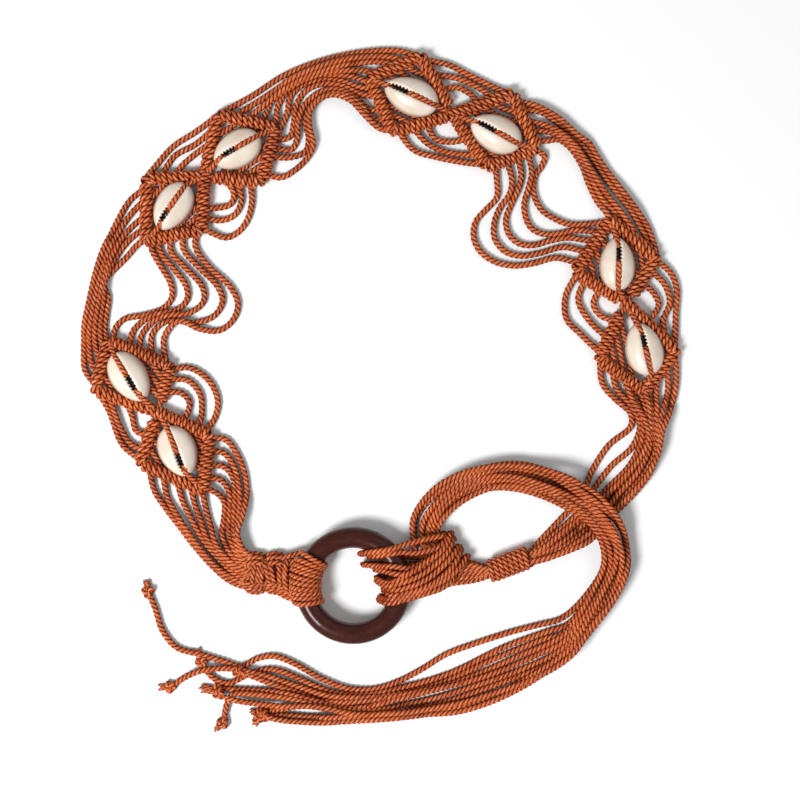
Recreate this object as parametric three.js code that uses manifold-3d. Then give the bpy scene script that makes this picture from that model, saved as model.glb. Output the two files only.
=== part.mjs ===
import * as THREE from 'three';
import { mergeVertices } from 'three/addons/utils/BufferGeometryUtils.js';
import Module from 'manifold-3d';

// A rope belt of knotted cord with four panels of two cowries each, a wood ring and a long
// tied tail, laid in a round on a flat surface. Millimetres, Z up.
// The layout is drawn from the middle of the ring, X to the right and Y away from the tail.

const wasm = await Module();
wasm.setup();

// Cord and clearances
const CORD = 2.5;
const GAP = 0.35;
const LAYOUT_RADIUS = 100;

// Ring
const RING_OUTER = 50;
const RING_TUBE = 9;

// Hitched bars
const BAR_WIDTH = 6.2;
const BAR_HEIGHT = 6.2;

// Shells
const SHELL_HEIGHT = 7;
const SHELL_WALL = 1.5;
const SLIT_WIDTH = 3.7;

// Knots, wrap and tie
const HITCH_COUNT = 10;
const KNOT_LENGTH = 9.6;
const KNOT_WIDTH = 17;
const KNOT_HEIGHT = 8;
const WRAP_WIDTH = 10.6;
const WRAP_TURNS = 7;
const BUNDLE_WIDTH = 9.6;
const END_KNOT = 4.6;

// Facets
const STRAND_SIDES = 4;
const TURN_STEP = THREE.MathUtils.degToRad(48);
const LONG_STEP = 30;

// Colours
const CORD_COLOUR = 0xb4602f;
const WOOD_COLOUR = 0x3a1a18;
const SHELL_COLOUR = 0xf0e6d2;

const RING_RADIUS = (RING_OUTER - RING_TUBE) / 2;
const HITCH_RADIUS = (RING_TUBE / 2 + GAP) / Math.cos(Math.PI / 8) + CORD / 2;
const RING_Z = HITCH_RADIUS + CORD / 2;
const SHELL_BASE = CORD + GAP + 0.05;
const BAR_Z = BAR_HEIGHT / 2;
const CORD_Z = CORD / 2;

// Corners of the four panels: where they start, their corners on the inner and outer side of
// the round, where the bars cross, the corners of the second diamond, and where they end
const PANELS = [
  {
    start: [-64.5, 40.5], inner: [-61.5, 64], outer: [-91.5, 52], cross: [-84, 74],
    inner2: [-78.5, 94], outer2: [-111, 83.5], end: [-105, 104.5],
  },
  {
    start: [-89, 147.5], inner: [-65, 152], outer: [-88.7, 174], cross: [-64, 175],
    inner2: [-39.5, 172.5], outer2: [-58, 201.5], end: [-33, 196],
  },
  {
    start: [7, 217], inner: [17, 194], outer: [29, 226.5], cross: [42.5, 201.5],
    inner2: [57.5, 179], outer2: [68, 210.5], end: [78.5, 187],
  },
  {
    start: [110, 156], inner: [95, 134], outer: [130, 140], cross: [117, 120.5],
    inner2: [105, 97], outer2: [138.5, 100], end: [124.5, 83],
  },
];

// Shells by panel: middle, heading of the long axis in degrees, length, width
const SHELLS = [
  [{ at: [-75.2, 57.2], heading: 114, length: 23, width: 16.4 },
    { at: [-96, 89], heading: 122, length: 24, width: 16.4 }],
  [{ at: [-77.3, 162], heading: 58, length: 22.7, width: 15.5 },
    { at: [-49.8, 186.3], heading: 31, length: 22, width: 16 }],
  [{ at: [24.8, 209.2], heading: -20, length: 24, width: 16 },
    { at: [61, 193.2], heading: -28, length: 23, width: 16 }],
  [{ at: [112.9, 137.2], heading: -86, length: 22.5, width: 15.4 },
    { at: [124.4, 100.8], heading: -80, length: 22.5, width: 16.4 }],
];

// Arcs of cord at the sides of each panel, between its two diamonds
const ARCS = [
  [
    [-80, 91.6, -71, 93, -62.6, 87.8, -58.4, 78.8, -60.4, 70, -64.4, 65.6],
    [-79, 88, -71.5, 87.6, -66, 81.5, -65.5, 72, -67, 67],
    [-80.5, 82.6, -74, 82, -70.6, 78, -72.5, 70],
    [-110.5, 84, -105, 74, -99.5, 60, -92, 53.5],
    [-104.5, 79, -100.5, 68, -96, 60.5, -90.5, 57.5],
    [-98, 79.5, -95.2, 72, -93.6, 66, -88, 63.5],
  ],
  [
    [-58.5, 201, -68.3, 194, -78, 187.6, -88, 176],
    [-60, 195.5, -68.5, 188.6, -77.3, 183.6, -83, 174.5],
    [-62.5, 188.5, -69, 184, -74, 179.5, -77, 175],
    [-55, 173.5, -51.5, 168, -53, 163.2, -64, 161],
    [-50, 173, -48.3, 165, -50.8, 159, -56, 156.4, -64, 157],
    [-44.5, 173, -43.8, 164, -46.2, 155.5, -50.5, 150.6, -55, 148.9, -64.5, 152.5],
  ],
  [
    [32, 225, 40.6, 223.2, 49, 219, 58, 214.6, 66.5, 210.5],
    [34, 219, 45, 217.2, 54, 213, 61, 208.5],
    [37, 211.5, 43.5, 213.5, 49.5, 211, 54.5, 205.5],
    [19, 194.5, 26, 186.5, 36, 183.4, 45.4, 181.5, 56, 180],
    [25, 196.5, 31.5, 189.5, 38, 186.2, 46, 184.6, 53.5, 184],
    [31, 198, 35, 191.5, 41, 190, 49, 191],
  ],
  [
    [130, 139, 136, 134, 138.8, 127, 138.4, 116, 138, 101],
    [127, 135, 133.5, 129, 135.8, 121, 133, 113.5, 133.5, 107.5],
    [123.5, 129.5, 129, 125, 131, 120, 128.8, 115.5],
    [95, 132, 91, 123.5, 91.5, 114, 97.5, 107.5, 106, 99],
    [98.5, 129.5, 96.5, 122, 101, 113.5, 109, 105.5],
    [105.5, 126.5, 103, 120.5, 106, 115.5, 112.5, 113],
  ],
];

// Cords from the square knots to the first panel, outer side of the round first
const START_STRANDS = [
  [-87.5, 48, -85.6, 40, -75, 25, -62, 9, -52, 0.4, -47, -1],
  [-81.8, 46.5, -79, 35, -66, 15.6, -56.5, 5.6],
  [-75.8, 44.5, -73.6, 36, -60, 12.8, -47, 2.4],
  [-70, 42.5, -68.5, 35, -63, 20, -55, 9.4],
  [-65, 40.5, -63.6, 33, -58.8, 17, -54, 11, -47, 6.4],
  [-64.2, 41.5, -58.5, 39, -55.6, 34, -56.6, 21, -47, 8.4],
  [-63.6, 46, -56.6, 44.4, -53.6, 38, -54, 26],
  [-63.2, 51, -55.6, 50, -51.6, 44, -51.2, 30, -51, 18, -46.5, 11],
  [-62.4, 57, -55.6, 56, -49.4, 46, -49.4, 32],
  [-61.6, 63, -54, 61, -46.8, 48, -46.4, 36, -50, 21],
];

// Cords from each panel to the next on the inner side of the round, some of them ending
// where they join another: cords lying side by side, then the route
const INNER_FLOATS = [
  [
    [1, -100.5, 103, -101.6, 110.6, -95, 115.4, -82, 117.2, -70, 116.8, -64.6, 121.4, -65, 127.6,
      -72.4, 136, -78.4, 142.6, -79, 149.5],
    [1, -87, 114.8, -79, 121.4, -78.8, 129.4, -86.5, 143.4, -87.5, 148],
    [1, -79, 115.6, -72.4, 121, -72.2, 128.4, -83, 142.8, -84, 148.5],
    [1.4, -90, 99, -87, 109, -79, 113, -68, 112.4, -60, 115.2, -56.4, 121.6, -58.6, 128,
      -73, 143.6, -73.6, 150.5],
    [1, -81, 95.4, -81.4, 106, -77, 112.4],
    [1, -73, 113, -64, 109, -55.4, 110.2, -50, 118.6, -52, 126.4, -62.8, 137, -68, 145,
      -67.5, 151.5],
  ],
  [
    [1.9, -33, 193, -27, 196, -26, 204, -20.6, 212.6, -11, 215.8, -2, 213.8, 9.5, 209.5],
    [1.2, -34.6, 187.6, -27, 186.2, -23.8, 191, -23, 200, -17, 210],
    [1, -35.8, 183.6, -27, 183.4, -20.4, 185.6],
    [1.6, -37.6, 176, -30, 175.2, -22, 181, -18.4, 189, -20, 199, -16.6, 206.4, -8, 210.2,
      0, 208, 6.6, 201, 16, 196.5],
  ],
  [
    [1, 79, 186, 82, 183.6, 78.4, 175.6, 77.4, 168, 81, 160.6, 88, 156, 98, 154.2, 108.5, 155.5],
    [1, 75, 184.5, 76.2, 176.6, 73.6, 166, 74.4, 155.6, 80, 150.6, 90, 150.6, 106.5, 151],
    [1, 70.5, 183.5, 71.8, 174.6, 65.8, 159, 66.6, 150.6, 73.6, 145.8, 84, 147.2, 103.5, 147],
    [1, 65.5, 182, 68, 172, 60.6, 157, 61, 147.6, 68.6, 141.4, 80, 142.2, 100.5, 142.5],
    [1, 60.5, 180.5, 61.8, 168, 53, 157, 52, 146.6, 60.6, 138.6, 74, 136.8, 97.5, 137.5],
  ],
];

// The same on the outer side
const OUTER_FLOATS = [
  [
    [2, -110.5, 87, -114.4, 97, -113.6, 113, -108.6, 133, -100.6, 153, -88.8, 168],
    [2, -107, 99, -109, 108, -108, 124, -102.6, 138, -88.9, 156],
    [1, -106.4, 128, -99, 139, -89, 148.6],
  ],
  [
    [2.2, -50, 200, -40, 208.8, -24, 218.4, -6, 224.4, 12, 226.4, 26, 224.8],
    [1.8, -40, 198.4, -33, 207, -20, 216, -4, 219.4, 12, 219.8],
  ],
  [
    [2, 70.8, 205, 86, 199.4, 98.6, 189, 111, 172.6, 122.4, 156, 126.6, 146],
    [2, 75, 196, 89, 192.6, 100, 180.6, 108, 165, 119.6, 150],
    [1.2, 78.5, 188.5, 88, 190, 96.6, 182.6, 103, 168, 111, 155.6],
  ],
];

// Cords from the last panel to the gathering wrap: one thick bundle and those apart from it
const END_BUNDLE = [124.6, 76, 126.6, 68, 126.4, 60, 122.4, 51, 114.6, 42, 104.6, 33.6, 94, 25,
  84.6, 17.6, 78.6, 13.8];
const END_STRANDS = [
  [105.6, 95.5, 107, 86, 113, 79, 120, 73, 124, 67],
  [112, 91, 115, 83, 124, 70],
  [130, 88, 130, 79, 128.6, 70],
  [134.5, 93, 135, 83, 132, 73.5, 129, 66],
  [138, 99, 138.6, 88, 136.6, 77, 132, 66, 128.4, 58],
  [124, 69, 119.4, 68.4, 109.6, 59.6, 102.6, 49, 97.4, 36, 90.6, 29.6, 82, 19.6],
  [125.4, 61, 120.4, 59, 110.4, 50.4, 103, 40.6, 95.6, 30, 84, 19.4],
  [112, 40, 107.4, 30, 102.4, 20.6, 92, 15.6, 80, 12.6],
];

// Tail: the thick part of the bundle, its locks, and the single cords at its end
const TAIL_BUNDLE = [30.6, 23, 30.7, 25.5, 33.6, 31.4, 41, 38.6, 50.4, 43.8, 60, 46.4, 70, 46.6, 80.6, 44.4,
  90.6, 40, 100.4, 33.4, 108, 25.4, 112.2, 16.4, 112, 7, 107.6, -3, 99.6, -11.6, 90.6, -19];
const TAIL_LOCKS = [
  [1, 97, -10, 84, -15.4, 66, -20.6, 50.6, -25.6, 38, -31.4, 24, -40.6, 9, -45.2,
    -4, -44, -25, -34, -36, -31, -43, -33.4, -47.6, -37.4],
  [2.2, 101, -13, 86, -22, 68, -29.4, 52, -35.8, 38, -41, 22, -45.8, 8, -48, -8, -46.4,
    -22, -41, -35, -38.6, -49, -37.6],
  [2.6, 101, -16, 84, -29, 66, -37.4, 46, -43.8, 24, -48],
  [2.4, 100, -18, 88, -29.6, 74, -38.4, 58, -45, 40, -49.6, 22, -51.6, 4, -53.4,
    -20, -49.8, -42, -46.4, -56.6, -45.2],
  [1.4, 102.6, -17, 90, -31, 78, -40.4, 60, -48.8, 44, -53.2, 26, -55, 8, -57, -10, -58,
    -38.6, -56.4],
];
const TAIL_ENDS = [
  [1, -47, -37, -66, -30.4, -76, -27, -82, -19.6, -85, -11, -88.6, -3.4],
  [1, -50, -44, -59.6, -41, -62.6, -36.4, -65.4, -33.8],
  [1, -48, -38.6, -56, -36.6, -66, -37.4, -78.6, -44.2],
  [1, -52, -46.4, -54.8, -51, -56, -59],
  [1, -22, -50.6, -39.6, -55],
  [1.6, 0, -52, -20, -45.4, -34, -43, -52, -43.6],
];
const END_KNOTS = [
  [-88.6, -3.4], [-65.4, -33.8], [-78.6, -44.2], [-57.6, -45], [-56, -59.4], [-48.8, -37.4],
  [-39.4, -55.8],
];

// Tie at the ring: cords side by side in each band, where the band folds inside the hole, and
// its way over the rim
const TIE_BANDS = [
  { cords: 1.7, fold: [3, 12.4], over: [15, 15.2, 28, 17.2, 40, 19.2] },
  { cords: 4, fold: [7, 5.2], over: [19.4, 6.4, 30, 9.6, 44, 16] },
  { cords: 4, fold: [9.6, -4.4], over: [20.4, -3.2, 32, 0.6, 45.2, 9.2] },
];
const WRAP_ENDS = [[58.4, 5.8], [75, 12]];
const TAIL_EXIT = [30.6, 22];

// A way through given points, thinned where it runs straight
class Way extends THREE.Curve {
  constructor(points) {
    super();
    this.points = points;
  }

  getPoint(t) {
    const last = this.points.length - 1;
    const index = Math.min(Math.round(t * last), last);
    return this.points[index].clone();
  }

  getPointAt(u) {
    return this.getPoint(u);
  }

  getSpacedPoints() {
    return this.points.map((point) => point.clone());
  }

  getTangentAt(u) {
    const last = this.points.length - 1;
    const index = Math.min(Math.round(u * last), last);
    if (this.points[index].heading) return this.points[index].heading.clone();
    const before = this.points[Math.max(index - 1, 0)];
    const after = this.points[Math.min(index + 1, last)];
    return after.clone().sub(before).normalize();
  }

  computeFrenetFrames() {
    const tangents = this.points.map((point, i) => this.getTangentAt(i / (this.points.length - 1)));
    const normals = [];
    const binormals = [];
    const normal = new THREE.Vector3(0, 0, -1);
    const turn = new THREE.Quaternion();
    tangents.forEach((tangent, i) => {
      if (i > 0) normal.applyQuaternion(turn.setFromUnitVectors(tangents[i - 1], tangent));
      const level = new THREE.Vector3(0, 0, normal.z > 0 ? 1 : -1);
      if (Math.abs(tangent.z) < 0.8) normal.copy(level);
      normal.addScaledVector(tangent, -normal.dot(tangent)).normalize();
      normals.push(normal.clone());
      binormals.push(tangent.clone().cross(normal));
    });
    return { tangents, normals, binormals };
  }
}

function place(x, y, z = 0) {
  return new THREE.Vector3((x / 100) * LAYOUT_RADIUS, (y / 100) * LAYOUT_RADIUS, z);
}

// Flat list of X and Y, with heights at the two ends and between them
function route(list, startZ, middleZ, endZ) {
  const points = [];
  for (let i = 0; i < list.length; i += 2) {
    const z = i === 0 ? startZ : i === list.length - 2 ? endZ : middleZ;
    points.push(place(list[i], list[i + 1], z));
  }
  return points;
}

function smooth(points, lowest) {
  const curve = new THREE.CatmullRomCurve3(points, false, 'centripetal');
  const dense = curve.getPoints(points.length * 16);
  for (const point of dense) point.z = Math.max(point.z, lowest);
  const kept = [dense[0]];
  let heading = dense[1].clone().sub(dense[0]).normalize();
  for (let i = 1; i < dense.length - 1; i += 1) {
    const next = dense[i + 1].clone().sub(dense[i]).normalize();
    const turned = heading.angleTo(next) > TURN_STEP;
    const far = dense[i].distanceTo(kept[kept.length - 1]) > LONG_STEP;
    const clear = dense[i].distanceTo(kept[kept.length - 1]) > CORD / 2;
    if ((turned || far) && clear) {
      kept.push(dense[i]);
      heading = next;
    }
  }
  const last = dense[dense.length - 1];
  if (last.distanceTo(kept[kept.length - 1]) < CORD / 2 && kept.length > 2) kept.pop();
  kept.push(last);
  for (const point of kept) {
    const i = dense.indexOf(point);
    const before = dense[Math.max(i - 1, 0)];
    point.heading = dense[Math.min(i + 1, dense.length - 1)].clone().sub(before).normalize();
  }
  return kept;
}

// Section with a flat underside, of a given width and height
function section(width, height, sides) {
  const shape = new THREE.Shape();
  for (let i = 0; i < sides; i += 1) {
    const angle = ((i + 0.5) / sides) * Math.PI * 2;
    const down = (Math.cos(angle) / Math.cos(Math.PI / sides)) * (height / 2);
    const side = Math.sin(angle) * (width / 2) * (sides > 4 ? 1.07 : 1.3);
    if (i === 0) shape.moveTo(down, side);
    else shape.lineTo(down, side);
  }
  shape.closePath();
  return shape;
}

function solid(geometry) {
  const bare = new THREE.BufferGeometry();
  bare.setAttribute('position', geometry.getAttribute('position').clone());
  if (geometry.index) bare.setIndex(geometry.index.clone());
  const merged = mergeVertices(bare, 1e-4);
  return new wasm.Manifold(new wasm.Mesh({
    numProp: 3,
    vertProperties: new Float32Array(merged.getAttribute('position').array),
    triVerts: new Uint32Array(merged.index.array),
  }));
}

function sweep(points, width, height, sides) {
  const way = new Way(points);
  return solid(new THREE.ExtrudeGeometry(section(width, height, sides), {
    steps: points.length - 1,
    extrudePath: way,
    bevelEnabled: false,
  }));
}

function strand(list, startZ, endZ, width = CORD, height = CORD, sides = STRAND_SIDES) {
  const points = smooth(route(list, startZ, height / 2, endZ), height / 2);
  return sweep(points, width, height, sides);
}

function union(solids) {
  return solids.reduce((sum, next) => sum.add(next));
}

function ball(at, size, z) {
  const geometry = new THREE.IcosahedronGeometry(size / 2, 0);
  geometry.translate(at.x, at.y, z);
  return solid(geometry);
}

// Bars: a leader cord wound closely with half hitches, round at each corner
function bar(corners, grow = 0) {
  const places = corners.map(([x, y]) => place(x, y, BAR_Z));
  const points = [places[0]];
  for (let i = 1; i < places.length - 1; i += 1) {
    const back = places[i - 1].clone().sub(places[i]).setLength(BAR_WIDTH / 2);
    const on = places[i + 1].clone().sub(places[i]).setLength(BAR_WIDTH / 2);
    points.push(places[i].clone().add(back));
    points.push(places[i].clone().add(on));
  }
  points.push(places[places.length - 1]);
  if (grow > 0) {
    const first = points[0].clone().sub(points[1]).setLength(grow);
    const end = points[points.length - 1].clone().sub(points[points.length - 2]).setLength(grow);
    points[0].add(first);
    points[points.length - 1].add(end);
  }
  return sweep(points, BAR_WIDTH + grow * 2, BAR_HEIGHT + grow * 2, 6);
}

function bars(panel, grow = 0) {
  const first = bar([panel.start, panel.inner, panel.cross, panel.outer2, panel.end], grow);
  const second = bar([panel.start, panel.outer, panel.cross, panel.inner2, panel.end], grow);
  return first.add(second);
}

// Shell: a hollow dome with a slit that the cord lies in
function dome(shell, grow) {
  const radius = shell.length / 2 + grow;
  const height = SHELL_HEIGHT + grow;
  const profile = [];
  for (let i = 0; i <= 3; i += 1) {
    const angle = (i / 3) * (Math.PI / 2);
    profile.push(new THREE.Vector2(radius * Math.cos(angle), height * Math.sin(angle)));
  }
  return { profile, radius, height };
}

function settle(geometry, shell, grow) {
  geometry.rotateX(Math.PI / 2);
  geometry.scale(1, (shell.width / 2 + grow) / (shell.length / 2 + grow), 1);
  geometry.rotateZ(THREE.MathUtils.degToRad(shell.heading));
  const at = place(...shell.at);
  geometry.translate(at.x, at.y, SHELL_BASE);
  return geometry;
}

function shellClearance(shell) {
  const { profile } = dome(shell, GAP);
  profile.push(new THREE.Vector2(0, -GAP));
  profile.push(new THREE.Vector2(profile[0].x, -GAP));
  profile.push(profile[0].clone());
  return solid(settle(new THREE.LatheGeometry(profile, 9), shell, GAP));
}

// Heights of the cord on a shell, by its distance from the middle in shares of the length
const SLIT_HEIGHTS = [[0.5, 5.2], [0.34, 7.2], [0, 6.2]];

function shellCord(shell, from, to) {
  const heading = THREE.MathUtils.degToRad(shell.heading);
  const axis = new THREE.Vector3(Math.cos(heading), Math.sin(heading), 0);
  const middle = place(...shell.at);
  const points = [place(...from, BAR_Z + CORD / 2)];
  for (const [share, z] of SLIT_HEIGHTS) {
    points.push(middle.clone().addScaledVector(axis, -share * shell.length).setZ(z));
  }
  for (const [share, z] of SLIT_HEIGHTS.slice(0, -1).reverse()) {
    points.push(middle.clone().addScaledVector(axis, share * shell.length).setZ(z));
  }
  points.push(place(...to, BAR_Z + CORD / 2));
  return sweep(points, CORD * 0.94, CORD, 5);
}

function cowrie(shell) {
  const { profile, radius, height } = dome(shell, 0);
  for (let i = 2; i >= 0; i -= 1) {
    const angle = (i / 2) * (Math.PI / 2);
    const inside = radius - SHELL_WALL;
    const under = height - SHELL_WALL;
    profile.push(new THREE.Vector2(inside * Math.cos(angle), under * Math.sin(angle)));
  }
  profile.push(profile[0].clone());
  const body = solid(settle(new THREE.LatheGeometry(profile, 9), shell, 0));
  const slot = new THREE.Shape();
  const top = SHELL_BASE + SHELL_HEIGHT * 2;
  const far = shell.length * 0.6;
  slot.moveTo(-far, top);
  slot.lineTo(-far, CORD_Z + BAR_Z);
  for (const [share, z] of SLIT_HEIGHTS) {
    slot.lineTo(-share * shell.length, z - CORD / 2 - GAP);
  }
  for (const [share, z] of SLIT_HEIGHTS.slice(0, -1).reverse()) {
    slot.lineTo(share * shell.length, z - CORD / 2 - GAP);
  }
  slot.lineTo(far, CORD_Z + BAR_Z);
  slot.lineTo(far, top);
  slot.closePath();
  const cut = new THREE.ExtrudeGeometry(slot, { depth: SLIT_WIDTH, bevelEnabled: false });
  cut.translate(0, 0, -SLIT_WIDTH / 2);
  cut.rotateX(Math.PI / 2);
  cut.rotateZ(THREE.MathUtils.degToRad(shell.heading));
  const at = place(...shell.at);
  cut.translate(at.x, at.y, 0);
  return body.subtract(solid(cut));
}

function panelSolid(index) {
  const panel = PANELS[index];
  const [first, second] = SHELLS[index];
  const exit = BAR_Z - CORD / 4;
  const parts = [bars(panel)];
  for (const arc of ARCS[index]) parts.push(strand(arc, exit, exit));
  const next = PANELS[index + 1];
  const floats = [];
  if (next) {
    for (const [cords, ...list] of [...INNER_FLOATS[index], ...OUTER_FLOATS[index]]) {
      floats.push(strand(list, exit, exit, CORD * cords));
    }
  } else {
    parts.push(strand(END_BUNDLE, CORD, CORD, CORD * 3.6, CORD * 1.7, 6));
    for (const list of END_STRANDS) parts.push(strand(list, exit, CORD));
  }
  let body = union(parts);
  body = body.subtract(shellClearance(first)).subtract(shellClearance(second));
  if (floats.length > 0) body = body.add(union(floats).subtract(bars(next, GAP)));
  body = body.add(shellCord(first, panel.start, panel.cross));
  return body.add(shellCord(second, panel.cross, panel.end));
}

function ring() {
  const geometry = new THREE.TorusGeometry(RING_RADIUS, RING_TUBE / 2, 8, 24);
  geometry.translate(0, 0, RING_Z);
  return solid(geometry);
}

// Lark's heads: loops of cord laid close on the left of the rim, as one sleeve round it
function ringHitches() {
  const reach = (HITCH_COUNT * CORD) / 2 / RING_RADIUS;
  const centre = THREE.MathUtils.degToRad(171);
  const along = [];
  for (let i = 0; i <= 6; i += 1) {
    const angle = centre - reach + (reach * 2 * i) / 6;
    along.push(new THREE.Vector3(
      Math.cos(angle) * RING_RADIUS, Math.sin(angle) * RING_RADIUS, RING_Z,
    ));
  }
  const outer = sweep(along, HITCH_RADIUS * 2 + CORD, HITCH_RADIUS * 2 + CORD, 9);
  const inside = (HITCH_RADIUS - CORD / 2) * 2;
  const first = along[0].clone().sub(along[1]).setLength(CORD).add(along[0]);
  const last = along[6].clone().sub(along[5]).setLength(CORD).add(along[6]);
  return outer.subtract(sweep([first, ...along.slice(1, -1), last], inside, inside, 9));
}

// Two square knots side by side with the ten cords that leave them for the first panel
function knottedStart() {
  const out = RING_RADIUS + HITCH_RADIUS + CORD / 2 + GAP;
  const parts = [];
  const middle = KNOT_WIDTH * 0.29;
  for (let i = 0; i < 2; i += 1) {
    const half = KNOT_LENGTH / 2;
    const profile = [
      new THREE.Vector2(0, -half),
      new THREE.Vector2(0.8, -half),
      new THREE.Vector2(1, -half * 0.6),
      new THREE.Vector2(1, half * 0.6),
      new THREE.Vector2(0.8, half),
      new THREE.Vector2(0, half),
    ];
    const knot = new THREE.LatheGeometry(profile, 8);
    knot.rotateZ(Math.PI / 2);
    knot.scale(1, KNOT_WIDTH / 2, KNOT_HEIGHT / 2);
    knot.translate(-out - KNOT_LENGTH * (0.5 + i * 0.94), middle, KNOT_HEIGHT / 2);
    parts.push(solid(knot));
  }
  START_STRANDS.forEach((list, i) => {
    parts.push(strand(list, BAR_Z - CORD / 4, i % 2 === 0 ? CORD_Z * 1.5 : CORD_Z * 3));
  });
  return union(parts).subtract(bars(PANELS[0], GAP));
}

// Gathering wrap: a cord wound round the bundle, turn against turn
function gatheringWrap() {
  const [a, b] = WRAP_ENDS.map(([x, y]) => place(x, y, WRAP_WIDTH / 2));
  const length = a.distanceTo(b);
  const pitch = length / WRAP_TURNS;
  const bore = WRAP_WIDTH / 2 - CORD * 0.52;
  const profile = [new THREE.Vector2(bore, 0)];
  for (let i = 0; i < WRAP_TURNS; i += 1) {
    profile.push(new THREE.Vector2(WRAP_WIDTH / 2 - CORD * 0.16, i * pitch));
    profile.push(new THREE.Vector2(WRAP_WIDTH / 2, (i + 0.5) * pitch));
  }
  profile.push(new THREE.Vector2(WRAP_WIDTH / 2 - CORD * 0.16, length));
  profile.push(new THREE.Vector2(bore, length));
  profile.push(new THREE.Vector2(bore, 0));
  const wrap = new THREE.LatheGeometry(profile, 8);
  wrap.rotateZ(-Math.PI / 2);
  wrap.rotateZ(Math.atan2(b.y - a.y, b.x - a.x));
  wrap.translate(a.x, a.y, WRAP_WIDTH / 2);
  return solid(wrap);
}

// Tie: the bundle spreads under the rim, folds back over it and turns under itself
function ringTie() {
  const [a, b] = WRAP_ENDS.map(([x, y]) => place(x, y, WRAP_WIDTH / 2));
  const beyond = b.clone().sub(a).setLength(CORD);
  const parts = [];
  const along = beyond.clone().normalize();
  const before = a.clone().addScaledVector(along, -GAP * 2.5);
  const core = (WRAP_WIDTH / 2 - CORD * 0.52 - GAP * 1.6) * 1.8;
  parts.push(sweep([
    b.clone().sub(beyond), a.clone().addScaledVector(along, -CORD),
  ], core, core, 7));
  parts.push(sweep([
    before,
    a.clone().addScaledVector(along, -CORD * 1.2).setZ(BUNDLE_WIDTH / 2.4),
    place(48, 5.3, BUNDLE_WIDTH / 4),
    place(36, 5.6, BUNDLE_WIDTH / 4),
  ], BUNDLE_WIDTH, BUNDLE_WIDTH / 2, 6));
  const over = RING_Z + RING_TUBE / 2 + GAP * 2 + CORD / 2;
  for (const band of TIE_BANDS) {
    const [x, y] = band.fold;
    const [rimX, rimY, farX, farY, endX, endY] = band.over;
    parts.push(sweep([
      place(42, 5.4 + (y - 5) * 0.1, BUNDLE_WIDTH / 3),
      place(31, 5.4 + (y - 5) * 0.5, CORD_Z),
      place(25, y, CORD_Z),
      place(x + 3, y, CORD_Z),
      place(x + 1.3, y, RING_Z * 0.5),
      place(x + 1.3, y, RING_Z * 1.45),
      place(x + 3.6, y, over - CORD * 0.2),
      place(rimX, rimY, over),
      place(farX, farY, over * 0.76),
      place(endX, endY, CORD * 1.9),
      place(endX + 0.6, endY, CORD_Z),
    ], CORD * band.cords * 0.92, CORD, 4));
  }
  parts.push(sweep([
    place(46, 9.6, CORD * 1.2),
    place(39, 15, CORD * 1.2),
    place(TAIL_EXIT[0] + 0.8, TAIL_EXIT[1] - 4.4, CORD * 1.2),
    place(TAIL_EXIT[0], TAIL_EXIT[1] - 1.6, CORD * 1.2),
    place(TAIL_EXIT[0], TAIL_EXIT[1], CORD * 1.2),
  ], CORD * 4.4, CORD * 2.2, 6));
  return union(parts);
}

// Tail: ten cords that lie together round a loop, over the bundle, then fan to knotted ends
function tail() {
  const parts = [];
  const high = CORD * 2.9;
  const points = route(TAIL_BUNDLE, CORD * 1.2, CORD, CORD);
  points.forEach((point, i) => {
    const share = i / (points.length - 1);
    const lift = Math.exp(-(((share - 0.6) / 0.17) ** 2));
    point.z = Math.max(point.z, CORD + (high - CORD) * Math.min(1, lift * 1.5));
  });
  parts.push(sweep(smooth(points, CORD), CORD * 5, CORD * 2, 6));
  for (const [cords, ...list] of TAIL_LOCKS) {
    parts.push(strand(list, CORD, CORD_Z, CORD * cords));
  }
  for (const [cords, ...list] of TAIL_ENDS) {
    parts.push(strand(list, CORD_Z, CORD_Z, CORD * cords));
  }
  for (const [x, y] of END_KNOTS) parts.push(ball(place(x, y), END_KNOT, END_KNOT * 0.46));
  return union(parts);
}

function mesh(body, name, colour, roughness) {
  const data = body.getMesh();
  const geometry = new THREE.BufferGeometry();
  geometry.setAttribute('position', new THREE.BufferAttribute(data.vertProperties, 3));
  geometry.setIndex(new THREE.BufferAttribute(data.triVerts, 1));
  const material = new THREE.MeshStandardMaterial({ color: colour, roughness, metalness: 0 });
  const made = new THREE.Mesh(geometry, material);
  made.name = name;
  return made;
}

const group = new THREE.Group();
group.name = 'rope_belt';
group.add(mesh(ring(), 'wood_ring', WOOD_COLOUR, 0.3));
group.add(mesh(ringHitches(), 'ring_hitches', CORD_COLOUR, 0.9));
group.add(mesh(knottedStart(), 'knotted_start', CORD_COLOUR, 0.9));
PANELS.forEach((panel, i) => {
  group.add(mesh(panelSolid(i), `shell_panel_${i + 1}`, CORD_COLOUR, 0.9));
  SHELLS[i].forEach((shell, j) => {
    group.add(mesh(cowrie(shell), `cowrie_${i * 2 + j + 1}`, SHELL_COLOUR, 0.35));
  });
});
group.add(mesh(gatheringWrap(), 'gathering_wrap', CORD_COLOUR, 0.9));
group.add(mesh(ringTie(), 'ring_tie', CORD_COLOUR, 0.9));
group.add(mesh(tail(), 'tail', CORD_COLOUR, 0.9));

// The whole is moved so that the middle of its underside is the origin
const extent = new THREE.Box3().setFromObject(group);
const centre = extent.getCenter(new THREE.Vector3());
for (const child of group.children) {
  child.geometry.translate(-centre.x, -centre.y, -extent.min.z);
}

export default group;
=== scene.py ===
# %% [markdown]
# # A knotted rope belt with cowries and a wood ring
# The real belt is ten cords, each 2.5 mm thick, knotted into four panels and laid in a round.
# A rope could be a plain tube with a striped picture on it, but its plies would vanish as soon
# as the camera came near. Here every cord is a real surface of three plies that twist about
# each other, and the knots are those cords carried round one another.

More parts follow.
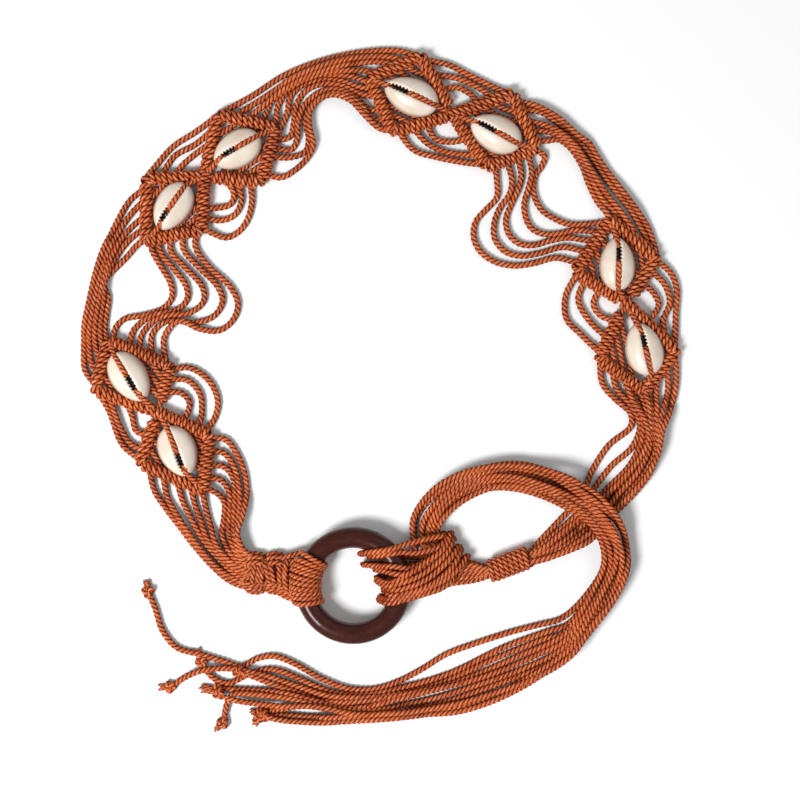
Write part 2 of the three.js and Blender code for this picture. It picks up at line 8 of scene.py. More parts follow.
import bpy
import numpy as np
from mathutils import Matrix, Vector


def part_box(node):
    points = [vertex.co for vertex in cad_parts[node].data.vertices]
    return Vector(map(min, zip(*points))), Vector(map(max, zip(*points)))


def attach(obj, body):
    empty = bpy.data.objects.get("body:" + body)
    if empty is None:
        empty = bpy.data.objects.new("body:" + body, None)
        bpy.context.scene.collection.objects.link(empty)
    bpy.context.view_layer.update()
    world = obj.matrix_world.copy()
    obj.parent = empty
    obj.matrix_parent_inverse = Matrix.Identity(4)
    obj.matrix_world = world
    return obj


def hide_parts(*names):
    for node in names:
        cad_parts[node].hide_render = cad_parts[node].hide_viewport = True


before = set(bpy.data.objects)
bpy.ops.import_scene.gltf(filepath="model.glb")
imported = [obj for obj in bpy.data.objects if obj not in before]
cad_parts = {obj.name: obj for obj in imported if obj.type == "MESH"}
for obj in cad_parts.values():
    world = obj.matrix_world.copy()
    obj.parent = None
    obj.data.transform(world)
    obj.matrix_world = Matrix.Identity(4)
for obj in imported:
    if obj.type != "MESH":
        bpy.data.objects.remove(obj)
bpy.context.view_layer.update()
print("CAD nodes:", len(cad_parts))

# %% Sizes that the whole belt shares
MM = 0.001
CORD = 2.5 * MM
RADIUS = CORD / 2
CROWN = 1.42 * MM  # how far the plies' crowns stand from a free cord's middle
WOUND = 1.29 * MM  # the same for a cord that is pulled tight round something
LIE = 1.4 * MM  # height of the middle of a cord that lies on the floor
UP = np.array([0.0, 0.0, 1.0])
ring_low, ring_high = (np.array(corner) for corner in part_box("wood_ring"))
RING_AT = (ring_low + ring_high) / 2
HOME = np.array([RING_AT[0], RING_AT[1], 0.0])
rng = np.random.default_rng(7)
print("ring centre, mm:", np.round(RING_AT / MM, 2))

# %% [markdown]
# ## Camera, light and floor
# The belt is seen from straight above, so a long lens keeps the edges of the picture from
# leaning outwards. The camera stands over the middle of the picture, a little to the right of
# and above the wood ring. One lamp at the lower left and a bright sky give the soft shadow
# that a white table shows, and the plain view transform keeps the dye as strong as it is.

# %% Camera
PICTURE_WIDTH = 341.9 * MM
PICTURE_MIDDLE = HOME + np.array([19.9, 79.1, 0]) * MM
PICTURE_HEIGHT = 6 * MM  # how far above the floor the picture is that wide
LENS, SENSOR = 85.0, 36.0


def link_in(name, data):
    """An object for the data, linked to the scene."""
    made = bpy.data.objects.new(name, data)
    bpy.context.scene.collection.objects.link(made)
    return made


def look_down(middle, width):
    """A camera above middle whose height is width times lens over sensor."""
    data = bpy.data.cameras.new("camera")
    data.lens = LENS
    data.sensor_width = SENSOR
    camera = link_in("camera", data)
    camera.location = (middle[0], middle[1], PICTURE_HEIGHT + width * LENS / SENSOR)
    bpy.context.scene.camera = camera
    return camera


camera = look_down(PICTURE_MIDDLE, PICTURE_WIDTH)
print("camera height, m:", round(camera.location.z, 3))

# %% Light and floor
FLOOR = 3.0  # from the middle to each side, in metres


def lamp(name, at, size, power):
    """A square soft lamp that faces the middle of the floor."""
    data = bpy.data.lights.new(name, "AREA")
    data.size = size
    data.energy = power
    made = link_in(name, data)
    made.location = at
    made.rotation_euler = (-Vector(at)).to_track_quat("-Z", "Y").to_euler()


def new_material(name, roughness):
    """A material, its node tree and its Principled shader."""
    material = bpy.data.materials.new(name)
    material.use_nodes = True
    shader = material.node_tree.nodes["Principled BSDF"]
    shader.inputs["Roughness"].default_value = roughness
    return material, material.node_tree, shader


lamp("key_lamp", (-0.62, -0.55, 1.05), 0.42, 20)
lamp("fill_lamp", (0.9, 0.5, 1.0), 1.2, 2.5)
world = bpy.data.worlds.new("pale_sky")
world.use_nodes = True
sky = world.node_tree.nodes["Background"]
sky.inputs["Color"].default_value = (1, 1, 1, 1)
sky.inputs["Strength"].default_value = 0.4
bpy.context.scene.world = world
bpy.context.scene.view_settings.view_transform = "Standard"

floor_mesh = bpy.data.meshes.new("floor")
corners = [(-FLOOR, -FLOOR, 0), (FLOOR, -FLOOR, 0), (FLOOR, FLOOR, 0), (-FLOOR, FLOOR, 0)]
floor_mesh.from_pydata(corners, [], [(0, 1, 2, 3)])
floor_paint, _, paint = new_material("floor_paint", 0.8)
paint.inputs["Base Color"].default_value = (0.86, 0.86, 0.86, 1)
floor_mesh.materials.append(floor_paint)
link_in("floor", floor_mesh)
print("floor and two lamps are set")

# %% [markdown]
# ## How a twisted cord is made
# A laid cord is three plies twisted together. Seen from the side its outline swells where a
# ply comes round to the edge, and dark grooves run between the plies at a slant. The surface
# is a profile carried along a path: the profile has three lobes, and it turns once in every
# 6.4 mm of the path. The cords of this belt turn to the left, which shows as strokes that
# rise to the right on a cord that lies level.

# %% Paths
STEP = 0.85 * MM
FINE_STEP = 0.8 * MM
TUCK = 1.8 * MM  # how far a cord's end goes on inside what holds it


def unit(vectors):
    """Each vector divided by its length."""
    return vectors / np.linalg.norm(vectors, axis=-1, keepdims=True)


def lengths(line):
    """Distance travelled along a line at each of its points."""
    return np.concatenate([[0], np.cumsum(np.linalg.norm(np.diff(line, axis=0), axis=1))])


def at_distances(line, stops, values=None):
    """The points of a line at the given distances along it, or the values given for its
    points, by linear interpolation."""
    travelled = lengths(line)
    columns = (line if values is None else values).T
    return np.stack([np.interp(stops, travelled, column) for column in columns], axis=-1)


def even(line, step=STEP):
    """The same line with its points an even step apart."""
    whole = lengths(line)[-1]
    count = max(4, int(round(whole / step)) + 1)
    return at_distances(line, np.linspace(0, whole, count))


def smooth_line(points, step=STEP):
    """A cubic Hermite curve through the points. Each span takes the square root of its length
    as its time, and the slope at a point is the mean of its two spans' rates, each weighted
    by the other span's time."""
    points = np.asarray(points, float)
    spans = np.sqrt(np.linalg.norm(np.diff(points, axis=0), axis=1))
    knots = np.concatenate([[0], np.cumsum(spans)])
    rates = np.diff(points, axis=0) / spans[:, None]
    left, right = spans[:-1, None], spans[1:, None]
    inner = (rates[:-1] * right + rates[1:] * left) / (left + right)
    slopes = np.vstack([rates[:1], inner, rates[-1:]])
    times = np.linspace(0, knots[-1], len(points) * 24)
    span = np.clip(np.searchsorted(knots, times, side="right") - 1, 0, len(points) - 2)
    width = spans[span][:, None]
    u = (times - knots[span])[:, None] / width
    line = ((1 + 2 * u) * (1 - u) ** 2 * points[span] + u * (1 - u) ** 2 * width * slopes[span]
            + u * u * (3 - 2 * u) * points[span + 1]
            + u * u * (u - 1) * width * slopes[span + 1])
    return even(line, step)


def flat(route):
    """A list of X and Y in millimetres from the ring's centre, as points on the floor."""
    pairs = np.asarray(route, float).reshape(-1, 2) * MM
    return np.column_stack([pairs + HOME[:2], np.full(len(pairs), LIE)])


def spot(x, y, z):
    """One point in millimetres from the ring's centre, in metres."""
    return HOME + np.array([x, y, z]) * MM


def tucked(line, last=TUCK):
    """A line made longer straight on at its two ends, so that they are inside what holds it."""
    before = line[0] - unit(line[2] - line[0]) * TUCK
    after = line[-1] + unit(line[-1] - line[-3]) * last
    return even(np.vstack([before, line, after]))


print("a 20 mm path has", len(smooth_line(flat([0, 0, 10, 0, 20, 0]))), "points")

# %% The cord's surface
SIDES = 18
PLIES = 3
TWIST_PITCH = 6.4 * MM
GROOVE = 0.34
ENDS = np.array([0.35, 0.72, 0.93])  # shares of the radius in a cord's last three rings


def off_axis(line, point, direction):
    """Unit vectors square to an axis that point from it to each point of a line."""
    away = line - point
    return unit(away - (away @ direction)[:, None] * direction)


def rope(line, side=UP, radius=CROWN, groove=GROOVE, hub=None):
    """Three plies along a line. At angle a of the profile the distance from the line is the
    radius times 1 less groove times (1 less the size of the cosine of 1.5 a), and the whole
    profile turns by one circle in each pitch. The axes of the profile are the cross product
    of side with the line's direction, and the cross product of that direction with it. Both
    ends are rounded by shrinking their last rings. The crown mask is 0 in the grooves, and
    falls off towards the side that faces what the cord lies on: the floor, or the axis hub
    that it is wound on. It places painted light and shade: the material paints shade in the
    grooves and on that side where the mask is low, and a painted highlight where it is high."""
    along = unit(np.gradient(line, axis=0))
    across = unit(np.cross(np.broadcast_to(side, along.shape), along))
    over = np.cross(along, across)
    travelled = lengths(line)
    angles = np.arange(SIDES) * 2 * np.pi / SIDES
    crown = np.abs(np.cos(PLIES / 2 * angles))
    size = np.full(len(line), radius, float)
    size[:3] *= ENDS
    size[-3:] *= ENDS[::-1]
    start = rng.uniform(0, 2 * np.pi)
    turn = angles[None, :] + (start - 2 * np.pi * travelled / TWIST_PITCH)[:, None]
    out = size[:, None] * (1 - groove * (1 - crown))[None, :]
    rings = (line[:, None, :] + (out * np.cos(turn))[..., None] * across[:, None, :]
             + (out * np.sin(turn))[..., None] * over[:, None, :])
    lit = np.broadcast_to(UP, line.shape) if hub is None else off_axis(line, *hub)
    facing = (np.cos(turn) * (across * lit).sum(axis=1)[:, None]
              + np.sin(turn) * (over * lit).sum(axis=1)[:, None])
    # The mask begins a little below the cord's waist and is whole well up its side; below that
    # the side is painted dark as shade
    crowns = crown[None, :] ** 0.7 * np.clip((facing + 0.35) / 1.2, 0, 1)
    return {"rings": rings, "crown": crowns, "length": travelled}


def ropes(lines):
    """A cord along each of the lines."""
    return [rope(line) for line in lines]


def rings_mesh(name, tubes, material):
    """One mesh from several tubes: each tube's rings are joined by quads, its two ends are
    closed by one face each, U runs round it and V along it in centimetres."""
    points, crowns, corners, totals, uvs = [], [], [], [], []
    base = 0
    for tube in tubes:
        rows, sides = tube["rings"].shape[:2]
        points.append(tube["rings"].reshape(-1, 3))
        crowns.append(np.asarray(tube["crown"]).reshape(-1))
        row, col = np.meshgrid(np.arange(rows - 1), np.arange(sides), indexing="ij")
        after = (col + 1) % sides
        quads = np.stack([row * sides + col, row * sides + after, (row + 1) * sides + after,
                          (row + 1) * sides + col], axis=-1).reshape(-1, 4) + base
        v = tube["length"] / (10 * MM)
        u = np.stack([col, col + 1, col + 1, col], axis=-1).reshape(-1, 4) / sides
        vs = np.stack([v[row], v[row], v[row + 1], v[row + 1]], axis=-1).reshape(-1, 4)
        caps = np.stack([np.arange(sides)[::-1], np.arange(sides) + (rows - 1) * sides]) + base
        corners += [quads.reshape(-1), caps.reshape(-1)]
        totals += [np.full(len(quads), 4), np.full(2, sides)]
        ends = np.column_stack([np.full(2 * sides, 0.5), np.repeat([v[0], v[-1]], sides)])
        uvs += [np.stack([u, vs], axis=-1).reshape(-1, 2), ends]
        base += rows * sides
    points, corners, totals = (np.concatenate(part) for part in (points, corners, totals))
    mesh = bpy.data.meshes.new(name)
    mesh.vertices.add(len(points))
    mesh.vertices.foreach_set("co", points.astype(np.float32).reshape(-1))
    mesh.loops.add(len(corners))
    mesh.loops.foreach_set("vertex_index", corners.astype(np.int32))
    mesh.polygons.add(len(totals))
    starts = np.concatenate([[0], np.cumsum(totals)[:-1]])
    mesh.polygons.foreach_set("loop_start", starts.astype(np.int32))
    mesh.polygons.foreach_set("use_smooth", np.ones(len(totals), bool))
    mesh.update(calc_edges=True)
    layer = mesh.uv_layers.new(name="UVMap")
    layer.data.foreach_set("uv", np.concatenate(uvs).astype(np.float32).reshape(-1))
    # The crown mask places painted light and shade: on a cord, shade in the grooves and
    # underneath and a highlight on the crowns; on a shell, shade in the slit
    mask = mesh.attributes.new("crown", "FLOAT", "POINT")
    mask.data.foreach_set("value", np.concatenate(crowns).astype(np.float32))
    mesh.materials.append(material)
    return link_in(name, mesh)


print("grooves are", round(GROOVE * RADIUS / MM, 2), "mm deep")

# %% Laying cords down
CLEAR = 2.25 * MM
PILE_FOOT = 3.6 * MM  # a pile is as high as it is laid up to here
PILE_SHARE = 0.32  # and this much of the rest is left when it has sunk


def soften(values, reach):
    """A running maximum over reach points each way, then a running mean of the same width."""
    width = 2 * reach + 1
    padded = np.pad(values, reach, mode="edge")
    highest = np.lib.stride_tricks.sliding_window_view(padded, width).max(axis=1)
    padded = np.pad(highest, reach, mode="edge")
    return np.convolve(padded, np.ones(width) / width, mode="valid")


def sunk(heights):
    """Heights in a pile of slack cords: the part above the pile's foot is cut down, because
    the cords press into the gaps between those below."""
    return np.minimum(heights, PILE_FOOT + (heights - PILE_FOOT) * PILE_SHARE)


def raised(heights):
    """The opposite of sunk."""
    return np.maximum(heights, PILE_FOOT + (heights - PILE_FOOT) / PILE_SHARE)


def settle(lines, under=(), start=LIE, end=LIE, run=6 * MM, reach=4):
    """Lays cords one after another. Over each cord below, a point's height is at least that
    cord's height plus the square root of (clearance squared less level distance squared).
    Heights are softened along the cord, fade from the given heights at its ends, and are
    sunk at last. With no height given for its end, that lies on whatever is below."""
    done = [np.column_stack([line[:, :2], raised(line[:, 2])]) for line in under]
    laid = []
    for line in lines:
        need = np.full(len(line), LIE)
        if done:
            below = np.concatenate(done)
            gaps = ((line[:, None, :2] - below[None, :, :2]) ** 2).sum(axis=-1)
            lift = below[None, :, 2] + np.sqrt(np.maximum(CLEAR ** 2 - gaps, 0))
            need = np.maximum(need, np.where(gaps < CLEAR ** 2, lift, 0).max(axis=1))
        z = soften(need, reach)
        travelled = lengths(line)
        fade_in = np.exp(-(travelled / run) ** 2)
        fade_out = np.exp(-((travelled[-1] - travelled) / run) ** 2)
        z = z + (raised(start) - z) * fade_in
        if end is not None:
            z = z + (raised(end) - z) * fade_out
        high = np.column_stack([line[:, :2], np.maximum(z, LIE)])
        laid.append(np.column_stack([line[:, :2], sunk(high[:, 2])]))
        done.append(high[::2])
    return laid


def lay_routes(routes, last=TUCK, **how):
    """Level routes made into smooth lines with tucked ends, and settled on one another."""
    return settle([tucked(smooth_line(flat(route)), last) for route in routes], **how)


print("two crossing cords lie", round(CLEAR / MM, 2), "mm apart")

# %% [markdown]
# ## Cord, shell and wood
# The cord is dyed cotton: dull and rust orange, with fine fibres along each ply and slow
# changes of tone from the dye. Light and shade are painted into its colour as well: shade in
# the grooves and on the side that faces what it lies on or is wound round, and a highlight on
# the upper crowns, where the lighter fibres are kept. The fibres follow the cord's own UV map,
# as they would on the real thing, and the tone follows the place in the belt. The ring is dark
# varnished wood, and the shells are polished cream with the slit painted dark as shade. A node
# group holds each effect that more than one of them uses.

# %% Nodes and their sockets


def new_node(tree, kind, inputs=(), **settings):
    """A node with its settings, and its inputs by name or number: each gets a value, or a
    link from another node's output."""
    node = tree.nodes.new(kind)
    for name, value in settings.items():
        setattr(node, name, value)
    return fill(tree, node, dict(inputs))


def fill(tree, node, inputs):
    """Sets or links a node's inputs."""
    for label, value in inputs.items():
        if isinstance(value, bpy.types.NodeSocket):
            tree.links.new(value, node.inputs[label])
        else:
            node.inputs[label].default_value = value
    return node


def noise(tree, place, scale, detail):
    """Noise over the points of another node's output."""
    return new_node(tree, "ShaderNodeTexNoise", {"Vector": place, "Scale": scale,
                                                 "Detail": detail}).outputs["Fac"]


def stretch(tree, value, low, high, to_low=0, to_high=1):
    """A value mapped so that low becomes to_low and high to_high, and held at both."""
    ends = {"Value": value, "From Min": low, "From Max": high, "To Min": to_low,
            "To Max": to_high}
    return new_node(tree, "ShaderNodeMapRange", ends).outputs["Result"]


def blend_colours(tree, factor, *colours):
    """Mixes two colours, either of them a colour or another node's output."""
    first, second = ((*c, 1) if isinstance(c, tuple) else c for c in colours)
    return new_node(tree, "ShaderNodeMix", {0: factor, 6: first, 7: second},
                    data_type="RGBA").outputs[2]


def bump(tree, height, strength, distance):
    """The normal that a Bump node makes of a height."""
    return new_node(tree, "ShaderNodeBump", {"Height": height, "Strength": strength,
                                             "Distance": distance}).outputs["Normal"]


print("each pattern is a few nodes, made by: new_node, noise, stretch, blend_colours, bump")

# %% Node groups


def node_group(name, inputs, outputs):
    """An empty shader group. Its inputs are numbers with their values, or a vector for None,
    and its outputs are numbers."""
    group = bpy.data.node_groups.new(name, "ShaderNodeTree")
    for label, value in inputs.items():
        kind = "NodeSocketVector" if value is None else "NodeSocketFloat"
        socket = group.interface.new_socket(label, in_out="INPUT", socket_type=kind)
        if value is not None:
            socket.default_value = value
    for label in outputs:
        group.interface.new_socket(label, in_out="OUTPUT", socket_type="NodeSocketFloat")
    return group, group.nodes.new("NodeGroupInput").outputs, group.nodes.new("NodeGroupOutput")


def fibre_group():
    """Fine noise drawn out along the ply: U times a high number and V times a low one, with V
    added to U so that the fibres slant across the ply."""
    group, given, leave = node_group(
        "cord_fibres", {"UV": None, "Across": 15.0, "Along": 5.0, "Slant": 1.4},
        ["Height", "Tone"])
    u, v, _ = new_node(group, "ShaderNodeSeparateXYZ", {0: given["UV"]}).outputs
    lean = new_node(group, "ShaderNodeMath", {0: v, 1: given["Slant"], 2: u},
                    operation="MULTIPLY_ADD").outputs[0]
    wide, long = (new_node(group, "ShaderNodeMath", {0: value, 1: given[label]},
                           operation="MULTIPLY").outputs[0]
                  for value, label in ((lean, "Across"), (v, "Along")))
    join = new_node(group, "ShaderNodeCombineXYZ", {"X": wide, "Y": long})
    height = noise(group, join.outputs[0], 1.0, 3.0)
    fill(group, leave, {"Height": height, "Tone": stretch(group, height, 0.38, 0.66)})
    return group


def cloud_group():
    """Slow changes over the piece: noise on Object coordinates, stretched to run 0 to 1."""
    group, given, leave = node_group("slow_change", {"Scale": 60.0, "Detail": 2.0}, ["Value"])
    place = new_node(group, "ShaderNodeTexCoord").outputs["Object"]
    value = noise(group, place, given["Scale"], given["Detail"])
    fill(group, leave, {"Value": stretch(group, value, 0.3, 0.7)})
    return group


def use_group(tree, group, **inputs):
    """Places a group in a material with its own values, and gives its outputs."""
    return new_node(tree, "ShaderNodeGroup", inputs, node_tree=group).outputs


FIBRES = fibre_group()
CLOUDS = cloud_group()
print("node groups:", FIBRES.name, CLOUDS.name)

# %% The look of the cord
DYES = (0.30, 0.027, 0.0022), (0.52, 0.080, 0.0105)
# Lighter fibres: partly the cotton's own tone and partly a painted highlight, as they are kept
# to the upper crowns
FIBRE_AND_HIGHLIGHT_COLOUR = (0.93, 0.440, 0.235)
# Painted shade: near black, laid where the crown mask is low, in the grooves between the plies
# and on the cord's underside
GROOVE_AND_UNDERSIDE_SHADE = (0.050, 0.002, 0.0003)


def dyed_cord():
    """Rust cotton: tone from the dye, and painted light and shade from the crown mask:
    lighter fibres that are partly a painted highlight on the upper crowns, and painted shade
    in the grooves and on the underside.
    """
    material, tree, shader = new_material("dyed_cord", 0.5)
    uv = new_node(tree, "ShaderNodeUVMap", uv_map="UVMap").outputs["UV"]
    crown = new_node(tree, "ShaderNodeAttribute", attribute_name="crown").outputs["Fac"]
    fibres = use_group(tree, FIBRES, UV=uv)
    tone = use_group(tree, CLOUDS, Scale=95.0, Detail=3.0)["Value"]
    dye = blend_colours(tree, tone, *DYES)
    fibres_and_highlight = blend_colours(tree, fibres["Tone"], dye, FIBRE_AND_HIGHLIGHT_COLOUR)
    # Painted highlight: the lighter fibre colour is kept to the upper part of the crowns, where
    # the light falls
    soft = blend_colours(tree, stretch(tree, crown, 0.4, 1, 0, 0.75), dye, fibres_and_highlight)
    # Painted shade: where the crown mask is low the colour goes to the near-black shade
    colour = blend_colours(tree, stretch(tree, crown, 0.06, 0.72), GROOVE_AND_UNDERSIDE_SHADE, soft)
    fill(tree, shader, {"Base Color": colour, "Specular IOR Level": 0.12,
                        "Specular Tint": (1.0, 0.55, 0.35, 1),
                        "Normal": bump(tree, fibres["Height"], 0.8, 0.3 * MM)})
    return material


CORD_LOOK = dyed_cord()
print("material:", CORD_LOOK.name)

# %% Adding a piece


def add_piece(name, tubes, *replaced, look=CORD_LOOK, slot="cord"):
    """Makes the mesh, lets it ride on the belt and hides the CAD nodes that it stands for."""
    made = rings_mesh(name, tubes, look)
    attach(made, "root")
    if replaced:
        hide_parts(*replaced)
    faces = sum((len(t["rings"]) - 1) * t["rings"].shape[1] * 2 for t in tubes)
    print(f"{name}: {len(tubes)} surfaces, about {faces} triangles")
    return made


print("a cord takes about", round(2 * SIDES * 10 * MM / STEP), "triangles a centimetre")

# %% [markdown]
# ## The tail
# Beyond the tie the ten cords lie side by side in two layers, run round in a loop, pass over
# the bundle on its way to the tie, and fan out to their knotted ends. They are the free
# cords of the belt, each made as a piece of its own. The route of each is
# the middle of the loop moved sideways, then its own line through the fan.

# %% Tail routes
# The middle of the loop from the tie, then each cord's way through the fan
LOOP = [31.5, 14.5, 30.8, 20, 31, 25, 33.6, 31, 41, 38.6, 50.4, 43.8, 60, 46.4, 70, 46.6,
        80.6, 44.4, 90.6, 40, 100.4, 33.4, 108, 25.4, 112.2, 16.4, 112, 7, 107.6, -3,
        100.6, -10.6]
FANS = [
    [90, -14.4, 78, -17.8, 66, -20.6, 50.6, -25.6, 39.4, -30.6, 30, -37, 19.6, -42.4, 9, -45.2,
     -2, -44.4, -13, -40.2, -25, -34, -34, -31.2, -41.4, -32.6, -48, -36.2, -57, -33.6, -66,
     -30.4, -76, -27, -82, -19.6, -85, -11, -88.2, -3.6],
    [92, -17, 84, -20, 68, -26.4, 52, -33, 38, -38.8, 24, -44, 8, -47.6, -8, -46, -22, -40.8,
     -36, -37.2, -46, -39.6, -54, -42.6, -60.6, -40, -63.4, -36.8, -65.2, -34.2],
    [90.6, -20.4, 82, -23.6, 68, -29.6, 52, -36, 37, -41.8, 22, -46.4, 6, -49, -10, -47.8,
     -24, -43, -36, -39, -46, -37.4, -56, -36.4, -66, -37.4, -73, -40.4, -78, -43.8],
    [93, -19.6, 82, -26.6, 66, -32.8, 50, -38.9, 36, -44, 20, -48, 4, -50, -12, -49.4,
     -26, -45.4, -37, -41.8, -43, -39.4, -48.4, -37.6],
    [91, -23.4, 80, -29.4, 64, -36, 48, -42, 32, -46.4, 16, -49.6, 0, -52, -16, -49.6,
     -30, -47, -44, -45.8, -57, -45],
    [95.6, -20.6, 86, -29, 70, -37.6, 54, -43.9, 38, -48.2, 22, -51, 4, -53.4, -14, -52.2,
     -30, -48.8, -44, -46.8, -51.6, -47, -54.4, -51, -55.8, -58.6],
    [94, -24, 84, -32.4, 70, -40.2, 56, -46, 40, -50.6, 22, -53.4, 6, -55.4, -10, -53.6,
     -22, -52, -32, -53.6, -39, -55],
    [97, -22.4, 88, -31.6, 76, -39.4, 62, -46.3, 48, -51.2, 32, -53.4, 14, -55.6, -4, -56.2,
     -18, -56.6, -30, -56.2, -40.6, -57.2],
    [99.6, -20.6, 91, -31.6, 78, -41.2, 62, -49, 46, -53.6, 30, -55.6, 12, -58, -6, -59.4,
     -22, -58.8, -34, -57.4, -39.4, -55.6],
    [100.6, -17.6, 93.4, -28.4, 82, -37.6, 66, -45.2, 50, -49.8, 34, -52, 18, -54, 0, -55.2,
     -16, -52.6, -34, -51.8, -50, -49.6, -56.6, -47.8],
]
# How far from the loop's middle each cord runs, to the left of its way
LANES = [-5.2, -3.6, -4.6, -1.4, -2.6, 0.4, -0.4, 2.2, 4.4, 5.2]


def sideways(line, offset):
    """A line moved level to its left by an offset, which may change along it."""
    along = unit(np.gradient(line, axis=0))
    left = unit(np.cross(UP, along))
    return line + left * np.broadcast_to(offset, len(line))[:, None]


def wave(travelled, longest):
    """A sine along a cord, with a length and a start of its own."""
    return np.sin(travelled / (rng.uniform(9, longest) * MM) + rng.uniform(0, 6.28))


def tail_lines():
    """Each cord's level line: the loop moved sideways to its lane, then its own fan, both
    with a slight sway. The fan's sway begins 130 mm along and dies out at the end."""
    loop = smooth_line(flat(LOOP), 4 * MM)
    lines = []
    for lane, fan in zip(LANES, FANS):
        moved = sideways(loop, (lane + 0.9 * wave(lengths(loop), 16)) * MM)
        line = smooth_line(np.vstack([moved[:-3:3], flat(fan)]))
        travelled = lengths(line)
        ease = np.clip((travelled - 130 * MM) / (50 * MM), 0, 1)
        ease = ease * np.clip((travelled[-1] - travelled) / (40 * MM), 0, 1)
        lines.append(even(sideways(line, 0.8 * MM * wave(travelled, 14) * ease)))
    return lines


tail_flat = tail_lines()
print("tail cords, mm:", [round(lengths(line)[-1] / MM) for line in tail_flat])

# %% [markdown]
# ## After the last panel
# Ten cords leave the last panel, draw together into a bundle and go to the gathering wrap.
# Two of them stay apart on the inner side and one on the outer. They lie under the tail, so
# they are laid before it.

# %% End bundle routes
END_ROUTES = [
    [105.6, 95.5, 107, 86, 113, 79, 119, 73.4, 119, 67.6, 109.6, 59.6, 102.6, 49, 97.4, 36,
     90.6, 29.6, 82, 20.6, 75, 13.6, 70, 11.4],
    [111, 91, 113, 84, 119, 77, 123, 68, 119.6, 58.8, 110.4, 50.4, 103, 40.6, 95.6, 30, 84,
     19.4, 76, 13.2, 70, 11],
    [118, 86, 121.4, 78, 124, 69, 123, 60, 118.6, 51, 111, 43, 102, 34.6, 92, 26.6, 83, 19,
     76, 13.4, 70, 10.8],
    [122.6, 84.6, 125, 76, 126, 68, 125.4, 60, 121, 51, 113, 41.8, 104.6, 33.6, 94, 25, 84.6,
     17.8, 77, 12.8, 70, 10.2],
    [126.4, 84.6, 127.4, 76, 128, 68, 127.6, 59, 123.4, 49.6, 115.4, 40.4, 106, 31.6, 96,
     23.4, 86, 16.4, 78, 12, 70, 9.6],
    [130, 88, 130, 79, 129.8, 68, 129.6, 58.6, 125.4, 48.6, 117.6, 39, 108, 30, 97.6, 21.8,
     87, 15, 78.4, 11.4, 70, 9.4],
    [134.5, 93, 135, 83, 132, 73.5, 130.6, 65, 130.2, 57.8, 127, 48, 119.4, 37.8, 109.6, 28.6,
     99, 20.4, 88, 14, 79, 11, 70, 9],
    [138, 99, 138.6, 88, 136.6, 77, 132, 66, 130.4, 57, 125, 46, 116.6, 36.4, 107, 27.6,
     97, 19.6, 87, 13.4, 79, 10.6, 70, 8.6],
    [124.6, 84, 126.6, 75, 127, 66, 126.4, 58, 122, 48.6, 113.6, 39, 107, 30, 102.4, 20.6,
     92, 15.2, 80, 11.2, 70, 9],
    [116, 88, 119.6, 79, 125, 69.6, 126, 62, 122.4, 54, 115.6, 45.6, 107, 37.4, 98, 29.6,
     88.6, 22, 79, 14.6, 70, 11.8],
]
WRAP_FROM, WRAP_TO = spot(58.4, 5.8, 5.3), spot(75, 12, 5.3)

end_lines = lay_routes(END_ROUTES, last=0, start=3.1 * MM, end=5.3 * MM)
print("highest end cord, mm:", round(max(line[:, 2].max() for line in end_lines) / MM, 1))
add_piece("end_cords", ropes(end_lines))

# %% [markdown]
# ## Tail cords and their knots
# Each tail cord ends in an overhand knot with a frayed stub. An overhand knot is a trefoil, so
# the knot is a small trefoil of the same cord, pressed flat, and the stub is three loose plies
# that splay out.

# %% Knots
KNOT_SIZE = 0.6324 * MM
STUB_PLACES = np.linspace(0, 1, 6)
STUB_RADII = np.interp(STUB_PLACES, [0, 0.7, 1], [0.85, 0.8, 0.62]) * MM


def knot_tubes(at, heading, stub):
    """A trefoil of cord: X is sin t plus 2 sin 2t, Y is cos t less 2 cos 2t and Z is minus
    sin 3t, scaled and pressed flat. Three thin plies leave it along stub and bend apart."""
    t = np.linspace(0.35, 2 * np.pi + 0.15, 60)
    turn = np.arctan2(heading[1], heading[0])
    x = np.sin(t) + 2 * np.sin(2 * t)
    y = np.cos(t) - 2 * np.cos(2 * t)
    z = -np.sin(3 * t) * 0.95
    cos, sin = np.cos(turn), np.sin(turn)
    line = np.column_stack([x * cos - y * sin, x * sin + y * cos, z]) * KNOT_SIZE + at
    line[:, 2] = np.maximum(line[:, 2], WOUND)
    tubes = [rope(even(line, 0.7 * MM), side=np.array([0.3, 0.2, 1.0]), radius=WOUND)]
    away = unit(np.array([stub[0], stub[1], 0.0]))
    aside = np.cross(UP, away)
    s = STUB_PLACES[:, None]
    for k in (-1, 0, 1):
        lean = k * 0.22 + rng.uniform(-0.08, 0.08)
        reach = np.hypot(*stub) * rng.uniform(0.85, 1.12)
        ply = at + away * s * reach + aside * (lean * s ** 1.3) * reach
        ply[:, 2] = at[2] + (RADIUS * 0.7 + 0.5 * MM * (k == 0) - at[2]) * s[:, 0]
        ply = even(ply, FINE_STEP)
        thin = np.interp(np.linspace(0, 1, len(ply)), STUB_PLACES, STUB_RADII)
        tubes.append(rope(ply, radius=thin, groove=0.16))
    return tubes


# Where each knot sits, and how far and which way its stub goes from there
END_KNOTS = [
    (-88.4, -3.2, -0.6, 5.0), (-65.4, -33.6, -2.6, 6.2), (-78.8, -44.2, -5.0, -0.6),
    (-49, -37.4, -3.6, 2.6), (-58.6, -45, -7.4, -0.2), (-56.2, -59.6, -3.6, -3.4),
    (-39.8, -55.4, -4.8, 0.4), (-41, -57.2, -1.6, -3.6), (-38.6, -56.2, -4.0, -1.4),
    (-57.6, -46.6, -6.4, 1.2),
]

